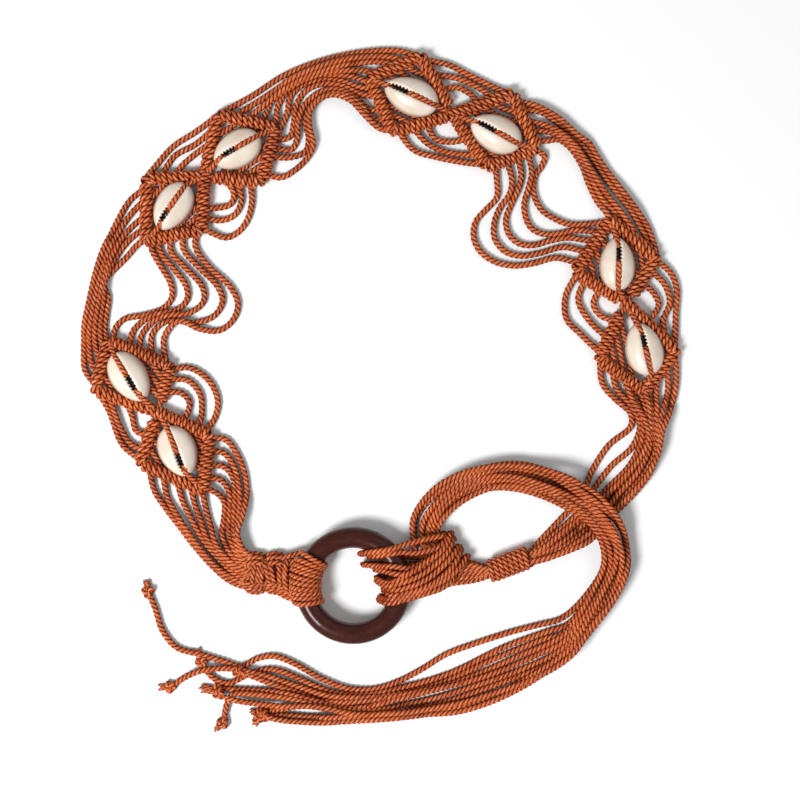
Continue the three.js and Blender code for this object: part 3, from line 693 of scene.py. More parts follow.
tail_laid = settle(tail_flat, under=[line[::2] for line in end_lines], start=1.6 * MM,
                   end=None, reach=7)
for number, (line, knot) in enumerate(zip(tail_laid, END_KNOTS), start=1):
    cord = add_piece(f"tail_cord_{number}", [rope(line)], "tail")
    at = spot(knot[0], knot[1], 0) + UP * max(line[-1, 2], 2 * MM)
    tubes = knot_tubes(at, line[-1] - line[-6], np.array(knot[2:]) * MM)
    end = add_piece(f"tail_knot_{number}", tubes)

# %% [markdown]
# ## The panels
# Each panel is two diamonds of hitched bars. On a bar one cord is the leader, and every
# cord that meets it is wound twice round it, which makes the slanting ribs. A bar could be a
# ribbed tube, but the ribs would have no plies, so each hitch is a real cord that goes
# twice round the leader, with a small lean that is a little different every time.

# %% Panel tables
# Corners: start, inner, outer, cross, second inner, second outer, end
CORNERS = [
    [-64.5, 40.5, -61.5, 64, -91.5, 52, -84, 74, -78.5, 94, -111, 83.5, -105, 104.5],
    [-89, 147.5, -65, 152, -88.7, 174, -64, 175, -39.5, 172.5, -58, 201.5, -33, 196],
    [7, 217, 17, 194, 29, 226.5, 42.5, 201.5, 57.5, 179, 68, 210.5, 78.5, 187],
    [110, 156, 95, 134, 130, 140, 117, 120.5, 105, 97, 138.5, 100, 124.5, 83],
]
# Arcs at the sides of each panel, outermost first on each side
ARCS = [
    [[-80, 91.6, -71, 93, -62.6, 87.8, -58.4, 78.8, -60.4, 70, -64.4, 65.6],
     [-79, 88, -71.5, 87.6, -66, 81.5, -65.5, 72, -67, 67],
     [-80.5, 82.6, -74, 82, -70.6, 78, -72.5, 70],
     [-110.5, 84, -105, 74, -99.5, 60, -92, 53.5],
     [-104.5, 79, -100.5, 68, -96, 60.5, -90.5, 57.5],
     [-98, 79.5, -95.2, 72, -93.6, 66, -88, 63.5]],
    [[-58.5, 201, -68.3, 194, -78, 187.6, -88, 176],
     [-60, 195.5, -68.5, 188.6, -77.3, 183.6, -83, 174.5],
     [-62.5, 188.5, -69, 184, -74, 179.5, -77, 175],
     [-55, 173.5, -51.5, 168, -53, 163.2, -64, 161],
     [-50, 173, -48.3, 165, -50.8, 159, -56, 156.4, -64, 157],
     [-44.5, 173, -43.8, 164, -46.2, 155.5, -50.5, 150.6, -55, 148.9, -64.5, 152.5]],
    [[32, 225, 40.6, 223.2, 49, 219, 58, 214.6, 66.5, 210.5],
     [34, 219, 45, 217.2, 54, 213, 61, 208.5],
     [37, 211.5, 43.5, 213.5, 49.5, 211, 54.5, 205.5],
     [19, 194.5, 26, 186.5, 36, 183.4, 45.4, 181.5, 56, 180],
     [25, 196.5, 31.5, 189.5, 38, 186.2, 46, 184.6, 53.5, 184],
     [31, 198, 35, 191.5, 41, 190, 49, 191]],
    [[130, 139, 136, 134, 138.8, 127, 138.4, 116, 138, 101],
     [127, 135, 133.5, 129, 135.8, 121, 133, 113.5, 133.5, 107.5],
     [123.5, 129.5, 129, 125, 131, 120, 128.8, 115.5],
     [95, 132, 91, 123.5, 91.5, 114, 97.5, 107.5, 106, 99],
     [98.5, 129.5, 96.5, 122, 101, 113.5, 109, 105.5],
     [105.5, 126.5, 103, 120.5, 106, 115.5, 112.5, 113]],
]
# The ten cords from each panel to the next, those on the inner side of the round first
FLOATS = [
    [[-102.5, 103.5, -102.8, 109, -99, 113.6, -90, 115.6, -82, 118.4, -78.2, 123, -78.6, 129,
      -82.5, 136, -86.5, 143, -87.5, 148],
     [-96.5, 101.5, -94.6, 109, -86, 115.4, -76, 117.8, -71.6, 122.4, -72, 128, -77.5, 135.6,
      -83, 142.6, -84, 148.5],
     [-92, 99.5, -91, 107.4, -82.5, 114.6, -70, 116.8, -64.6, 121.4, -65, 127.6, -72.4, 136,
      -78.4, 142.6, -79, 149.5],
     [-86.5, 97, -86.6, 107.4, -80, 113, -68, 112.4, -60, 115.2, -56.4, 121.6, -58.6, 128,
      -67, 136.6, -73, 143.6, -73.6, 150.5],
     [-80.5, 95, -81.4, 106, -74.8, 113, -66, 109.6, -57.6, 109, -51.8, 113.6, -49.8, 120.6,
      -53, 127.6, -62.8, 137, -68, 145, -67.5, 151.5],
     [-105.5, 103, -107, 109, -106.5, 115, -105.6, 123, -107.5, 130, -104, 134, -98, 140,
      -93, 145.5, -89, 147.8],
     [-107, 99, -108.6, 106, -108.7, 113, -107.6, 121, -106.8, 129, -104, 137, -99, 145,
      -94, 150, -89.5, 152.5],
     [-108.5, 95, -111, 102, -111, 110, -109.3, 121, -107, 131, -103, 142, -98.5, 150,
      -93, 155.5, -89.5, 157.5],
     [-110, 90, -113.3, 97, -113.4, 108, -111.2, 121, -108.5, 132, -105, 143, -100, 153,
      -94, 161, -89.5, 165],
     [-111.5, 86, -115.5, 92, -116, 100, -115.5, 110, -113, 122, -110.5, 133, -107, 144,
      -102, 155, -96, 165, -89.5, 170]],
    [[-31.5, 195.5, -28.4, 203, -27.6, 208.6, -22.6, 214, -15, 216.8, -6, 216.4, 1, 214,
      9, 212.5],
     [-33.8, 191, -27.6, 192, -25.8, 198, -25, 205, -21, 211.6, -13.6, 214.8, -5.6, 214.2,
      2, 211, 10.5, 209],
     [-34.6, 187.6, -27, 186.6, -24.4, 191, -23.8, 199, -20.6, 206.6, -13.4, 211.8, -5.4, 212,
      2, 208, 6.6, 204, 12.8, 203.5],
     [-35.8, 183.6, -27, 183.4, -20.6, 186, -19.4, 192, -20.8, 199, -17.4, 206.4, -10, 210.4,
      -3, 209.8, 3, 205.4, 8, 200, 14.8, 198.5],
     [-37.6, 176, -31, 174.8, -24.6, 178.4, -19.6, 183.6, -17.4, 189, -19, 196, -18.8, 203,
      -13.6, 208.6, -7.6, 209.8, -1, 207.2, 4.6, 201.4, 10.6, 196, 17, 194.5],
     [-33, 199, -33, 204, -30, 210, -24, 214.5, -16, 218, -6, 218.7, 0, 218, 5, 216, 8, 215],
     [-38, 201, -36, 206, -30, 211, -20, 216.5, -10, 219.5, 0, 220.5, 6, 220.5, 12, 219.5,
      14, 219.5],
     [-43, 202, -38, 205.5, -31, 211, -22, 216.5, -12, 220.5, 0, 223.5, 10, 224.5, 18, 223,
      21, 222],
     [-48, 203, -40, 208, -28, 215.8, -14, 222, 0, 225.6, 12, 226.8, 20, 225.5, 25, 224],
     [-54, 204, -44, 209.5, -30, 218.5, -15, 224.5, 0, 228, 12, 229.3, 20, 229, 27, 227]],
    [[79, 186, 82, 184, 80.8, 179.6, 78, 175.6, 77.2, 170.6, 78, 165.6, 81, 160.6, 86, 157.2,
      92, 154.8, 99, 154.6, 108.5, 155.5],
     [75, 184.5, 76.4, 176.6, 75, 170, 73.4, 164, 73.8, 158, 76.4, 153, 81, 150.6, 88, 150.6,
      95, 152, 106.5, 151],
     [70.5, 183.5, 72, 175.6, 70.6, 169.6, 67.6, 163, 65.4, 156.6, 66.6, 150.6, 71, 146.4,
      77, 145.6, 84, 147.4, 92, 148.8, 103.5, 147],
     [65.5, 182, 68, 174, 67, 167.6, 62.8, 161.6, 60.4, 155, 60.6, 148.6, 65, 143, 72, 141,
      80, 142.2, 90, 144.8, 100.5, 142.5],
     [60.5, 180.5, 61.6, 173, 61.4, 166, 56.8, 160.8, 52.4, 155.6, 51.6, 149, 54.4, 143,
      60.6, 138.6, 69, 136.8, 78, 138, 87, 140.2, 97.5, 137.5],
     [77.5, 190.5, 83, 190.5, 88, 191, 93, 187.5, 98, 180, 101, 172, 105, 164, 108, 160,
      110, 157],
     [75.5, 195, 82, 194.5, 88, 192.5, 94, 187, 99, 180, 103, 172, 107, 165, 112, 160,
      116, 155, 117.5, 152],
     [73.5, 199.5, 82, 197, 89, 193.5, 95, 188, 101, 179, 106, 171, 111, 164.5, 116, 158,
      120, 152, 121.5, 149],
     [71.5, 204, 80, 203, 88, 198, 95, 191.5, 101, 185, 107, 176, 113, 168.5, 119, 161,
      123, 154, 125.5, 149, 126, 145.5],
     [70, 207.5, 78, 205.5, 88, 200, 96, 193, 101, 189.5, 105, 183, 110, 176, 116, 168,
      122, 160, 127, 152, 129, 146, 130, 143]],
]
# Shells: X, Y, heading of the long axis in degrees, length, width, and the two shares of the
# length between which the cord is down in the slit
SHELLS = [
    [-75.2, 57.2, 114, 23, 16.4, 0.2, 0.48], [-96, 89, 124, 24, 16, 0.24, 0.54],
    [-77.3, 162, 58, 22.7, 15.6, 0.17, 0.42], [-49.8, 186.3, 33, 22.4, 16, 0.22, 0.52],
    [24.8, 209.2, -22, 24.4, 16, 0.12, 0.45], [61, 193.2, -26, 23.4, 16, 0.14, 0.5],
    [112.9, 137.2, -88, 23, 15.4, 0.18, 0.46], [124.4, 100.8, -74, 23, 16.4, 0.22, 0.48],
]
print("panels:", len(CORNERS), "shells:", len(SHELLS))

# %% Hitched bars
WRAP_PITCH = 2.35 * MM
BAR_RADIUS = 1.92 * MM
BAR_Z = 3.15
LEAN = 0.15 * MM
CORNER_CUT = 1.5 * MM
CROSSING = 3.4 * MM  # from the middle of a crossing to the first hitch that is kept


def hitch(axis, at, hand):
    """Two turns round a bar. At turn angle t a point is the bar's own point, plus its level
    normal times radius times cos t, plus height times radius times sin t, and the place
    along the bar moves on by one pitch a turn and leans by minus cos t."""
    t = np.linspace(-0.62 * np.pi, 3.62 * np.pi, 44)
    s = at + hand * WRAP_PITCH * (t / (2 * np.pi) - 0.75)
    s = s - hand * LEAN * rng.uniform(0.75, 1.25) * np.cos(t)
    centre = at_distances(axis, s)
    along = unit(at_distances(axis, s, unit(np.gradient(axis, axis=0))))
    level = unit(np.cross(along, UP))
    squeeze = np.clip(np.minimum(t - t[0], t[-1] - t) / 0.5, 0.55, 1)
    out = BAR_RADIUS * rng.uniform(0.94, 1.06) * squeeze
    line = centre + level * (out * np.cos(t))[:, None] + UP * (out * np.sin(t))[:, None]
    line[:, 2] = np.maximum(line[:, 2], WOUND)
    middle = len(t) // 2
    return rope(even(line, FINE_STEP), side=along[middle], radius=WOUND,
                hub=(centre[middle], along[middle]))


def bar_axis(corners):
    """The leader's line through a bar's corners, rounded at each by cutting it short."""
    points = [spot(*corner, BAR_Z) for corner in corners]
    rounded = [points[0]]
    for before, corner, after in zip(points, points[1:], points[2:]):
        rounded += [corner + unit(beside - corner) * CORNER_CUT for beside in (before, after)]
    rounded.append(points[-1])
    spans = [np.linspace(a, b, 12, endpoint=False) for a, b in zip(rounded, rounded[1:])]
    return np.concatenate(spans + [rounded[-1:]])


def hitched_bar(corners, hands, skip=None):
    """Hitches set close from one end of a bar to the other, and the leader inside them. They
    turn by the first hand up to the middle of the bar and by the second beyond it. Skip is a
    point whose hitches are left out, where another bar crosses."""
    axis = bar_axis(corners)
    whole = lengths(axis)[-1]
    tubes = [rope(even(axis), radius=RADIUS * 0.9)]
    count = int(whole // (2 * WRAP_PITCH))
    gap = whole / count
    for at in (np.arange(count) + 0.5) * gap:
        near = skip is not None and np.linalg.norm(at_distances(axis, at) - skip) < CROSSING
        if not near:
            tubes.append(hitch(axis, at, hands[0] if at < whole / 2 else hands[1]))
    return tubes


print("a hitch takes", round(2 * WRAP_PITCH / MM, 1), "mm of the bar")

# %% Cords across a diamond, beside the shell
AT_BAR = 2.6 * MM  # height of a cord's middle where it goes into a bar

def corner_cords(first, corner, last, shares):
    """Cords from one bar to the next, each joining the points at one share of both bars from
    their common corner, and bent a little away from that corner."""
    lines = []
    for share in shares:
        a = corner + (first - corner) * share
        b = corner + (last - corner) * share
        middle = (a + b) / 2 + ((a + b) / 2 - corner) * 0.1
        lines.append(smooth_line([a, middle, b]))
    return lines


def panel_cords(number):
    """Every cord of a panel apart from those over its shells."""
    corners = np.reshape(CORNERS[number], (-1, 2))
    start, inner, outer, cross, inner2, outer2, end = corners
    tubes = hitched_bar([start, inner, cross, outer2, end], (1, -1))
    tubes += hitched_bar([start, outer, cross, inner2, end], (-1, 1), spot(*cross, BAR_Z))
    s, i, o, x, i2, o2, e = (spot(*corner, RADIUS / MM) for corner in corners)
    lines = []
    for first, corner, last in ((s, i, x), (s, o, x), (x, i2, e), (x, o2, e)):
        lines += corner_cords(first, corner, last, (0.36, 0.55, 0.74))
    inside = settle(lines, start=AT_BAR, end=AT_BAR)
    arcs = lay_routes(ARCS[number], start=3.1 * MM, end=3.1 * MM, run=5 * MM)
    return tubes + ropes(inside + arcs)


for number in range(4):
    add_piece(f"panel_{number + 1}", panel_cords(number), f"shell_panel_{number + 1}")

# %% [markdown]
# ## Cords between the panels
# Ten cords float from each panel to the next. On the inner side of the round they are too long
# for it and bulge inwards in loose loops, and on the outer side they lie close together. Where
# two come nearer than their thickness, the later one is laid over the earlier.

# %% Floats
for number, routes in enumerate(FLOATS, start=1):
    add_piece(f"floats_{number}",
              ropes(lay_routes(routes, start=AT_BAR, end=AT_BAR, run=4 * MM)))

# %% [markdown]
# ## The start: cords, square knots and lark's heads
# Ten cords leave the first panel and run together into two square knots beside the ring. A
# square knot is two pairs of cords that cross over the others and turn back at both edges. On
# the ring the cords are lark's heads: ten lines over the rim, held by a cord across them.

# %% Start cords
START_ROUTES = [
    [-87.5, 48, -85.6, 40, -80.5, 32.2, -75, 25, -69, 17, -62, 9, -54, 1.8, -47, -1, -42, -0.6],
    [-81.8, 46.5, -80, 37, -75.5, 29, -70, 21, -64, 13, -56.5, 5.6, -47, 0.9, -42, 1],
    [-75.8, 44.5, -73.6, 36, -70, 28.5, -66, 21, -60, 12.8, -54, 7, -47, 2.8, -42, 2.4],
    [-70, 42.5, -68.5, 35, -66, 28, -63, 20, -58, 13, -53, 8.5, -47, 4.8, -42, 4],
    [-65, 40.5, -63.6, 33, -61.5, 25, -58.8, 17, -54, 11, -47, 6.6, -42, 5.4],
    [-64.2, 41.5, -58.5, 39, -55.6, 35, -55.8, 28, -56.6, 21, -53.5, 14.4, -47, 8.4, -42, 7],
    [-63.6, 46, -57, 44.6, -53.8, 40, -53.2, 32, -53.8, 23, -51.5, 16, -47, 10, -42, 8.4],
    [-63.2, 51, -56, 50.5, -52, 46, -51, 38, -51.4, 28, -50.6, 19, -47, 11.4, -42, 9.6],
    [-62.4, 57, -56, 56.4, -51.5, 50.6, -49.2, 42, -49, 33, -50, 23, -49, 16.5, -46, 12.6,
     -42, 10.6],
    [-61.6, 63, -55, 62, -50, 55.5, -46.8, 47, -46, 38, -47.5, 30, -49.6, 22, -46.5, 14.4,
     -42, 11.6],
]
start_lines = lay_routes(START_ROUTES, last=0, start=AT_BAR, end=2.8 * MM)
add_piece("start_cords", ropes(start_lines))

# %% Square knots
KNOT_TOP, KNOT_FOOT = 10.4, -0.6  # Y of the knots' two edges
# For each knot: its middle X, then X of the top and foot of the cords that cross over it
BANDS = [(-42.0, [-41.9, -43.6, -39.9, -41.4, -38.3, -39.8]),
         (-33.5, [-38.2, -35.2, -36.0, -33.4, -31.8, -31.4, -29.6, -29.4])]
# Y and height of the layers of cord along the knots' upper and lower edges
UPPER_EARS = [(9.7, 6.4), (11.7, 5.0), (13.1, 2.7)]
LOWER_EARS = [(-0.3, 6.0), (-2.0, 4.5), (-3.4, 2.3)]
# Places of the six cords inside the knots, counted from the middle one
CORE = (-2.5, -1.5, -0.5, 0.5, 1.5, 2.5)


def square_knot(middle, bands):
    """Cords over the core from edge to edge, at heights that follow the square root of a half
    sine, and layers of cord along both edges that bow outwards by the square of the place."""
    tubes = []
    share = np.linspace(0.03, 0.97, 11)
    for head, base in np.reshape(bands, (-1, 2)):
        line = np.column_stack([head + (base - head) * share,
                                KNOT_TOP + (KNOT_FOOT - KNOT_TOP) * share,
                                2.6 + 4.9 * np.sin(share * np.pi) ** 0.5])
        tubes.append(rope(smooth_line(HOME + line * MM), side=np.array([1.0, 0, 0.01]),
                          radius=WOUND))
    places = np.linspace(-1, 1, 5)
    for ears, out in ((UPPER_EARS, 1), (LOWER_EARS, -1)):
        for layer, (y, z) in enumerate(ears):
            line = np.column_stack([middle - 0.1 + 4.6 * places,
                                    y - out * (1.9 - 0.3 * layer) * places ** 2,
                                    np.maximum(z - 1.4 * places ** 2, 1.35)])
            tubes.append(rope(smooth_line(HOME + line * MM), radius=WOUND))
    return tubes


knots = ropes(smooth_line([spot(-49.5, 4.6 + k * 1.5, 3.2), spot(-40, 5 + k * 1.7, 4.4),
                           spot(-29, 4 + k * 2.1, 4.4)]) for k in CORE)
for middle, bands in BANDS:
    knots += square_knot(middle, bands)
add_piece("square_knots", knots, "knotted_start")

# %% Lark's heads
RING_TUBE = (ring_high[2] - ring_low[2]) / 2
RING_RADIUS = (ring_high[0] - ring_low[0]) / 2 - RING_TUBE
# Where each line crosses the rim's outer and inner side, in degrees round the ring
HEADS = [(149, 143)] + [(156 + 37 * k / 8, 150 + 56 * k / 8) for k in range(9)]


def rim_line(outer_angle, inner_angle, gap):
    """A cord round the rim. Its turn angle runs from the outer side over the top to the
    inner side and back underneath, and its place along the ring moves between two angles."""
    turn = np.radians(np.linspace(205, -170, 40))
    step = np.arange(40)
    share = np.where(step < 22, step / 21, 1 - (step - 21) / 18)
    angle = np.radians(outer_angle + (inner_angle - outer_angle) * share)
    out = RING_TUBE + gap
    far = RING_RADIUS - out * np.cos(turn)
    line = RING_AT + np.column_stack([far * np.cos(angle), far * np.sin(angle),
                                      out * np.sin(turn)])
    line[:, 2] = np.maximum(line[:, 2], WOUND)
    return line, np.mean(angle)


def larks_heads():
    """Ten lines side by side, fanned a little, each led on to the square knots, and the cord
    that holds them at the left."""
    tubes = []
    for outer, inner in HEADS:
        line, middle = rim_line(outer + rng.uniform(-0.7, 0.7), inner + rng.uniform(-1, 1),
                                rng.uniform(1.15, 1.4) * MM)
        tangent = np.array([-np.sin(middle), np.cos(middle), 0.0])
        inside = RING_AT + RING_RADIUS * np.array([np.cos(middle), np.sin(middle), 0])
        tubes.append(rope(even(line, FINE_STEP), side=tangent, radius=WOUND,
                          hub=(inside, tangent)))
        y_out = (line[0, 1] - HOME[1]) / MM
        lead = [line[0] + np.array([1.0, 0, 0.6]) * MM,
                line[0] + np.array([-1.6, 0, 0.2]) * MM,
                spot(-33, 3.6 + (y_out - 3.6) * 0.72, 4.4)]
        tubes.append(rope(smooth_line(lead), radius=WOUND))
    hold = [-27.2, -4.6, 1.6, -27.8, -4, 4.2, -28.6, -1.5, 6.2, -29.2, 3.5, 7.2,
            -28.9, 8, 6.8, -28, 10.8, 4.6, -27.2, 11.6, 1.6]
    tubes.append(rope(smooth_line(HOME + np.reshape(hold, (-1, 3)) * MM)))
    return tubes


add_piece("larks_heads", larks_heads(), "ring_hitches")

# %% [markdown]
# ## The gathering wrap and the tie
# One cord is wound eight times round the bundle, turn against turn. Beyond it the ten cords
# spread out under the ring, fold up through its hole, come back over the rim side by side and
# turn down at the upper right. From there they go back underneath and leave as the tail.

# %% Gathering wrap
WRAP_TURNS = 8


def coil(start, end, radius, turns):
    """A helix about the line from start to end: the level normal times cos t plus height
    times sin t, with t running through the given number of turns."""
    t = np.linspace(0, 2 * np.pi * turns, int(turns * 26))
    axis = unit(end - start)
    level = unit(np.cross(axis, UP))
    along = start + (end - start) * (t / t[-1])[:, None]
    return along + radius * (level * np.cos(t)[:, None] + UP * np.sin(t)[:, None]), axis


wrap_line, wrap_axis = coil(WRAP_FROM, WRAP_TO, 4.05 * MM, WRAP_TURNS)
wrap = rope(even(wrap_line, FINE_STEP), side=wrap_axis, radius=WOUND,
            hub=(WRAP_FROM, wrap_axis))
add_piece("gathering_coil", [wrap], "gathering_wrap")

# %% Tie
# Each cord from the hole, over the rim and down at the right: X and Y in turn. Then the heights
# at those places: a row for each of the first four cords, and one for all the others
TIE_ROWS = [
    [2.9, 13.2, 8.8, 14.7, 15.4, 15.8, 20.3, 17.3, 28.4, 19.4, 34, 20.6, 37.9, 21.2],
    [6.5, 12.2, 13.1, 13.5, 20.3, 14.5, 26.8, 14.2, 31.7, 15.2, 36.9, 16.8, 39.2, 19.1],
    [3.9, 8.6, 10.5, 8.3, 17, 8.6, 25.2, 8, 31.7, 11.3, 36.6, 14.9, 39.6, 18.6],
    [9.1, 6.7, 13.7, 6.3, 18.6, 5.4, 23.5, 5.7, 28.4, 7.3, 34, 10.5, 38.5, 15.5],
    [9.8, 3.1, 15.4, 1.4, 23.5, 5.4, 30.1, 9.9, 36.6, 14.2, 39.9, 18.1, 41.2, 21.4],
    [9.9, 2, 14.4, 0.1, 20.3, 1.6, 28.4, 4.7, 35, 9.3, 40.5, 14.9, 42.2, 19.1],
    [12.7, -1.2, 17, -1.5, 23.5, -0.2, 31.7, 3.4, 38.2, 8.6, 42.8, 13.5, 44.5, 15.8],
    [13.1, -2.5, 17, -3.8, 25.2, -2.2, 33.3, 1.1, 39.9, 5.7, 44.1, 10.9, 45.4, 14.2],
    [11.4, -5.1, 15.4, -5.6, 23.5, -3.8, 31.7, -0.8, 39.9, 3.4, 45.4, 8, 48.1, 11.6],
    [10.8, -6.4, 15.4, -7.1, 21.9, -5.4, 30.1, -3.1, 36.6, -1.2, 40.9, 1.4, 43.1, 4.1],
]
TIE_HEIGHTS = [[4, 12.4, 13.8, 12.6, 10.8, 9, 7.5], [4, 13.3, 12, 11.4, 10.4, 9, 7],
               [3.5, 8, 13.4, 10.8, 8.8, 7.6, 6], [3.5, 10.5, 13.5, 12, 10.2, 8.4, 6.4],
               [3.5, 11.2, 13.7, 12.5, 11, 8.5, 5.5]]


def tie_line(number):
    """One cord from inside the wrap, under the ring, round through the hole, over the rim,
    down at the right and back underneath. Over the rim its height is at least the ring's
    middle plus the square root of (reach squared less the distance from the tube's middle
    squared), where reach is the tube's radius and the cord's."""
    level = np.reshape(TIE_ROWS[number], (-1, 2))
    seen = np.column_stack([level, TIE_HEIGHTS[min(number, 4)]])
    first, last = level[0], level[-1]
    layer = number % 2
    lane = 9.2 - 7.6 * number / 9
    # Before the hole the cords spread out in two layers, and under the ring they lie flat
    hidden = [[64, 7.9, 5.3 + (layer - 0.5) * 1.6],
              [57, 5.6 + (lane - 5.4) * 0.5, 4.4 + (layer - 0.5) * 2],
              [50, lane, 1.4 + layer * 2.3],
              [42, lane + (first[1] - lane) * 0.14, 1.4 + layer * 2.1],
              [33, lane + (first[1] - lane) * 0.62, 1.4 + layer * 0.3],
              [24, lane + (first[1] - lane) * 0.93, 1.4],
              [first[0] + 4.6, first[1], 1.4]]
    leaves = [[last[0] + 0.8, last[1] + 0.6, 3], [last[0] - 1, last[1] - 0.5, 1.5],
              [35 + (last[0] - 40) * 0.3, 14.5, 1.5], [31.5, 13, 1.5]]
    line = smooth_line(HOME + np.vstack([hidden, seen, leaves]) * MM)
    gap = np.linalg.norm(line[:, :2] - RING_AT[:2], axis=1) - RING_RADIUS
    reach = RING_TUBE + RADIUS
    over = RING_AT[2] + np.sqrt(np.maximum(reach ** 2 - gap ** 2, 0))
    crossing = (np.abs(gap) < reach) & (line[:, 2] > RING_AT[2])
    line[crossing, 2] = np.maximum(line[crossing, 2], over[crossing])
    line[:, 2] = np.maximum(line[:, 2], LIE)
    return line


TIE_SIDE = unit(np.array([-0.25, 1.0, 0.35]))
add_piece("tie_cords", [rope(tie_line(number), side=TIE_SIDE) for number in range(10)],
          "ring_tie")

# %% [markdown]
# ## The wood ring
# The ring is turned wood under dark varnish. A torus from two angles is its exact shape, so
# the surface is worked out straight from them, and the grain and the small changes of the
# varnish come from the material.

# %% Ring
AROUND, ABOUT = 160, 36


def ring_grid(radius, tube):
    """A torus: at angle a round the ring and b about its tube, the distance from the axis is
    radius plus tube times cos b, and the height is tube times sin b."""
    a = np.linspace(0, 2 * np.pi, AROUND, endpoint=False)[:, None]
    b = np.linspace(0, 2 * np.pi, ABOUT, endpoint=False)[None, :]
    far = radius + tube * np.cos(b)
    high = np.broadcast_to(tube * np.sin(b), (AROUND, ABOUT))
    return RING_AT + np.stack([far * np.cos(a), far * np.sin(a), high], axis=-1)


def closed_mesh(name, grid, material):
    """A mesh from a grid that closes on itself both ways."""
    rows, sides = grid.shape[:2]
    row, col = np.meshgrid(np.arange(rows), np.arange(sides), indexing="ij")
    nxt, after = (row + 1) % rows, (col + 1) % sides
    quads = np.stack([row * sides + col, nxt * sides + col, nxt * sides + after,
                      row * sides + after], axis=-1).reshape(-1, 4)
    mesh = bpy.data.meshes.new(name)
    mesh.from_pydata(grid.reshape(-1, 3).tolist(), [], quads.tolist())
    mesh.polygons.foreach_set("use_smooth", np.ones(len(quads), bool))
    mesh.materials.append(material)
    return link_in(name, mesh)


def varnished_wood():
    """Dark red brown with a fine grain and a clear coat, a little hazy in places."""
    material, tree, shader = new_material("varnished_wood", 0.35)
    place = new_node(tree, "ShaderNodeTexCoord").outputs["Object"]
    drawn = new_node(tree, "ShaderNodeMapping", {"Vector": place, "Scale": (260, 1500, 900)})
    grain = noise(tree, drawn.outputs["Vector"], 0.6, 6.0)
    brown = blend_colours(tree, stretch(tree, grain, 0.35, 0.65),
                          (0.034, 0.007, 0.004), (0.052, 0.010, 0.007))
    haze = use_group(tree, CLOUDS, Scale=420.0, Detail=5.0)["Value"]
    fill(tree, shader, {"Base Color": brown, "Roughness": stretch(tree, haze, 0, 1, 0.2, 0.42),
                        "Specular IOR Level": 0.12, "Coat Weight": 0.2,
                        "Coat Roughness": 0.08, "Normal": bump(tree, grain, 0.15, 0.1 * MM)})
    return material


ring = closed_mesh("ring_of_wood", ring_grid(RING_RADIUS, RING_TUBE), varnished_wood())
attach(ring, "root")
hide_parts("wood_ring")
print("ring outside, mm:", round((RING_RADIUS + RING_TUBE) * 2 / MM, 1))

# %% [markdown]
# ## The cowries
# A cowrie lies with its mouth up: an egg-shaped dome with a slit from end to end, and a row of
# fine teeth on both lips. A dome with a slit cut by a boolean would have sharp lips, so the
# shell is one closed surface. Its cross-section starts at the edge, climbs to the lip, rolls
# into the slit, climbs out and goes back underneath.

# %% Shell surface, in millimetres
SHELL_Z = 2.95
SHELL_HEIGHT = 6.0
SHELL_ROWS = 150
UNDERSIDE = 0.28  # its depth, as a share of the height above it
TEETH = 15
LIP = 1.3  # width of a lip
LIP_ROLL = 1.25  # how far from the slit the lip begins to roll into it


def shell_side(half, top, edge, ridge):
    """Half a section, from the outer side in to the bottom of the slit: distance from the
    middle, height and the painted shade of the slit. Half is the half-width at each row. The
    height is top times the square root of (1 less the share of half squared) to the power 1.1,
    less a quarter circle near the lip, and below the lip the wall goes down into the slit."""
    half, top, edge, ridge = (values[:, None] for values in (half, top, edge, ridge))
    lip = np.minimum(edge + LIP, half * 0.9)
    out = np.hstack([half + (lip - half) * np.linspace(0, 1, 9) ** 0.85,
                     edge + (lip - edge) * np.array([0.62, 0.34, 0.14, 0.0])])
    high = top * np.sqrt(1 - np.clip(out / half, 0, 1) ** 2) ** 1.1
    near = np.clip((out - edge) / LIP_ROLL, 0, 1)
    high = high - np.minimum(1.1, top * 0.3) * (1 - np.sqrt(1 - (1 - near) ** 2))
    high = high + 0.16 * ridge * np.exp(-((out - edge) / 0.9) ** 2)
    low = np.maximum(high[:, -1:] - np.array([0.7, 2.2, 3.0]), 0.9)
    out = np.hstack([out, edge * np.array([0.96, 0.9, 0.45])])
    high = np.hstack([high, np.minimum(low, high[:, -1:] - 0.05)])
    dark = np.zeros(out.shape)
    # Painted shade: the last four points, down the slit's wall, are painted near black
    dark[:, -4:] = [0.35, 0.9, 1, 1]
    return out, high, dark


def shell_section(half, top, edges, ridge):
    """Whole sections: one side down into the slit, the other side out of it, and half an
    ellipse underneath."""
    plus, minus = (shell_side(half, top, edge, sign * ridge)
                   for sign, edge in zip((1, -1), edges))
    under = np.linspace(np.pi, 2 * np.pi, 10)[1:-1]
    across = np.hstack([plus[0], -minus[0][:, ::-1], half[:, None] * np.cos(under)])
    depth = np.maximum(top, 0.4)[:, None] * UNDERSIDE * np.sin(under)
    high = np.hstack([plus[1], minus[1][:, ::-1], depth])
    dark = np.hstack([plus[2], minus[2][:, ::-1], np.zeros(depth.shape)])
    return across, high, dark


def open_share(share, low, high):
    """1 between two shares of the length and 0 outside them, by a smooth step at each."""
    step = np.clip(np.minimum((share - low) / 0.1, (high - share) / 0.1) + 0.5, 0, 1)
    return step * step * (3 - 2 * step)


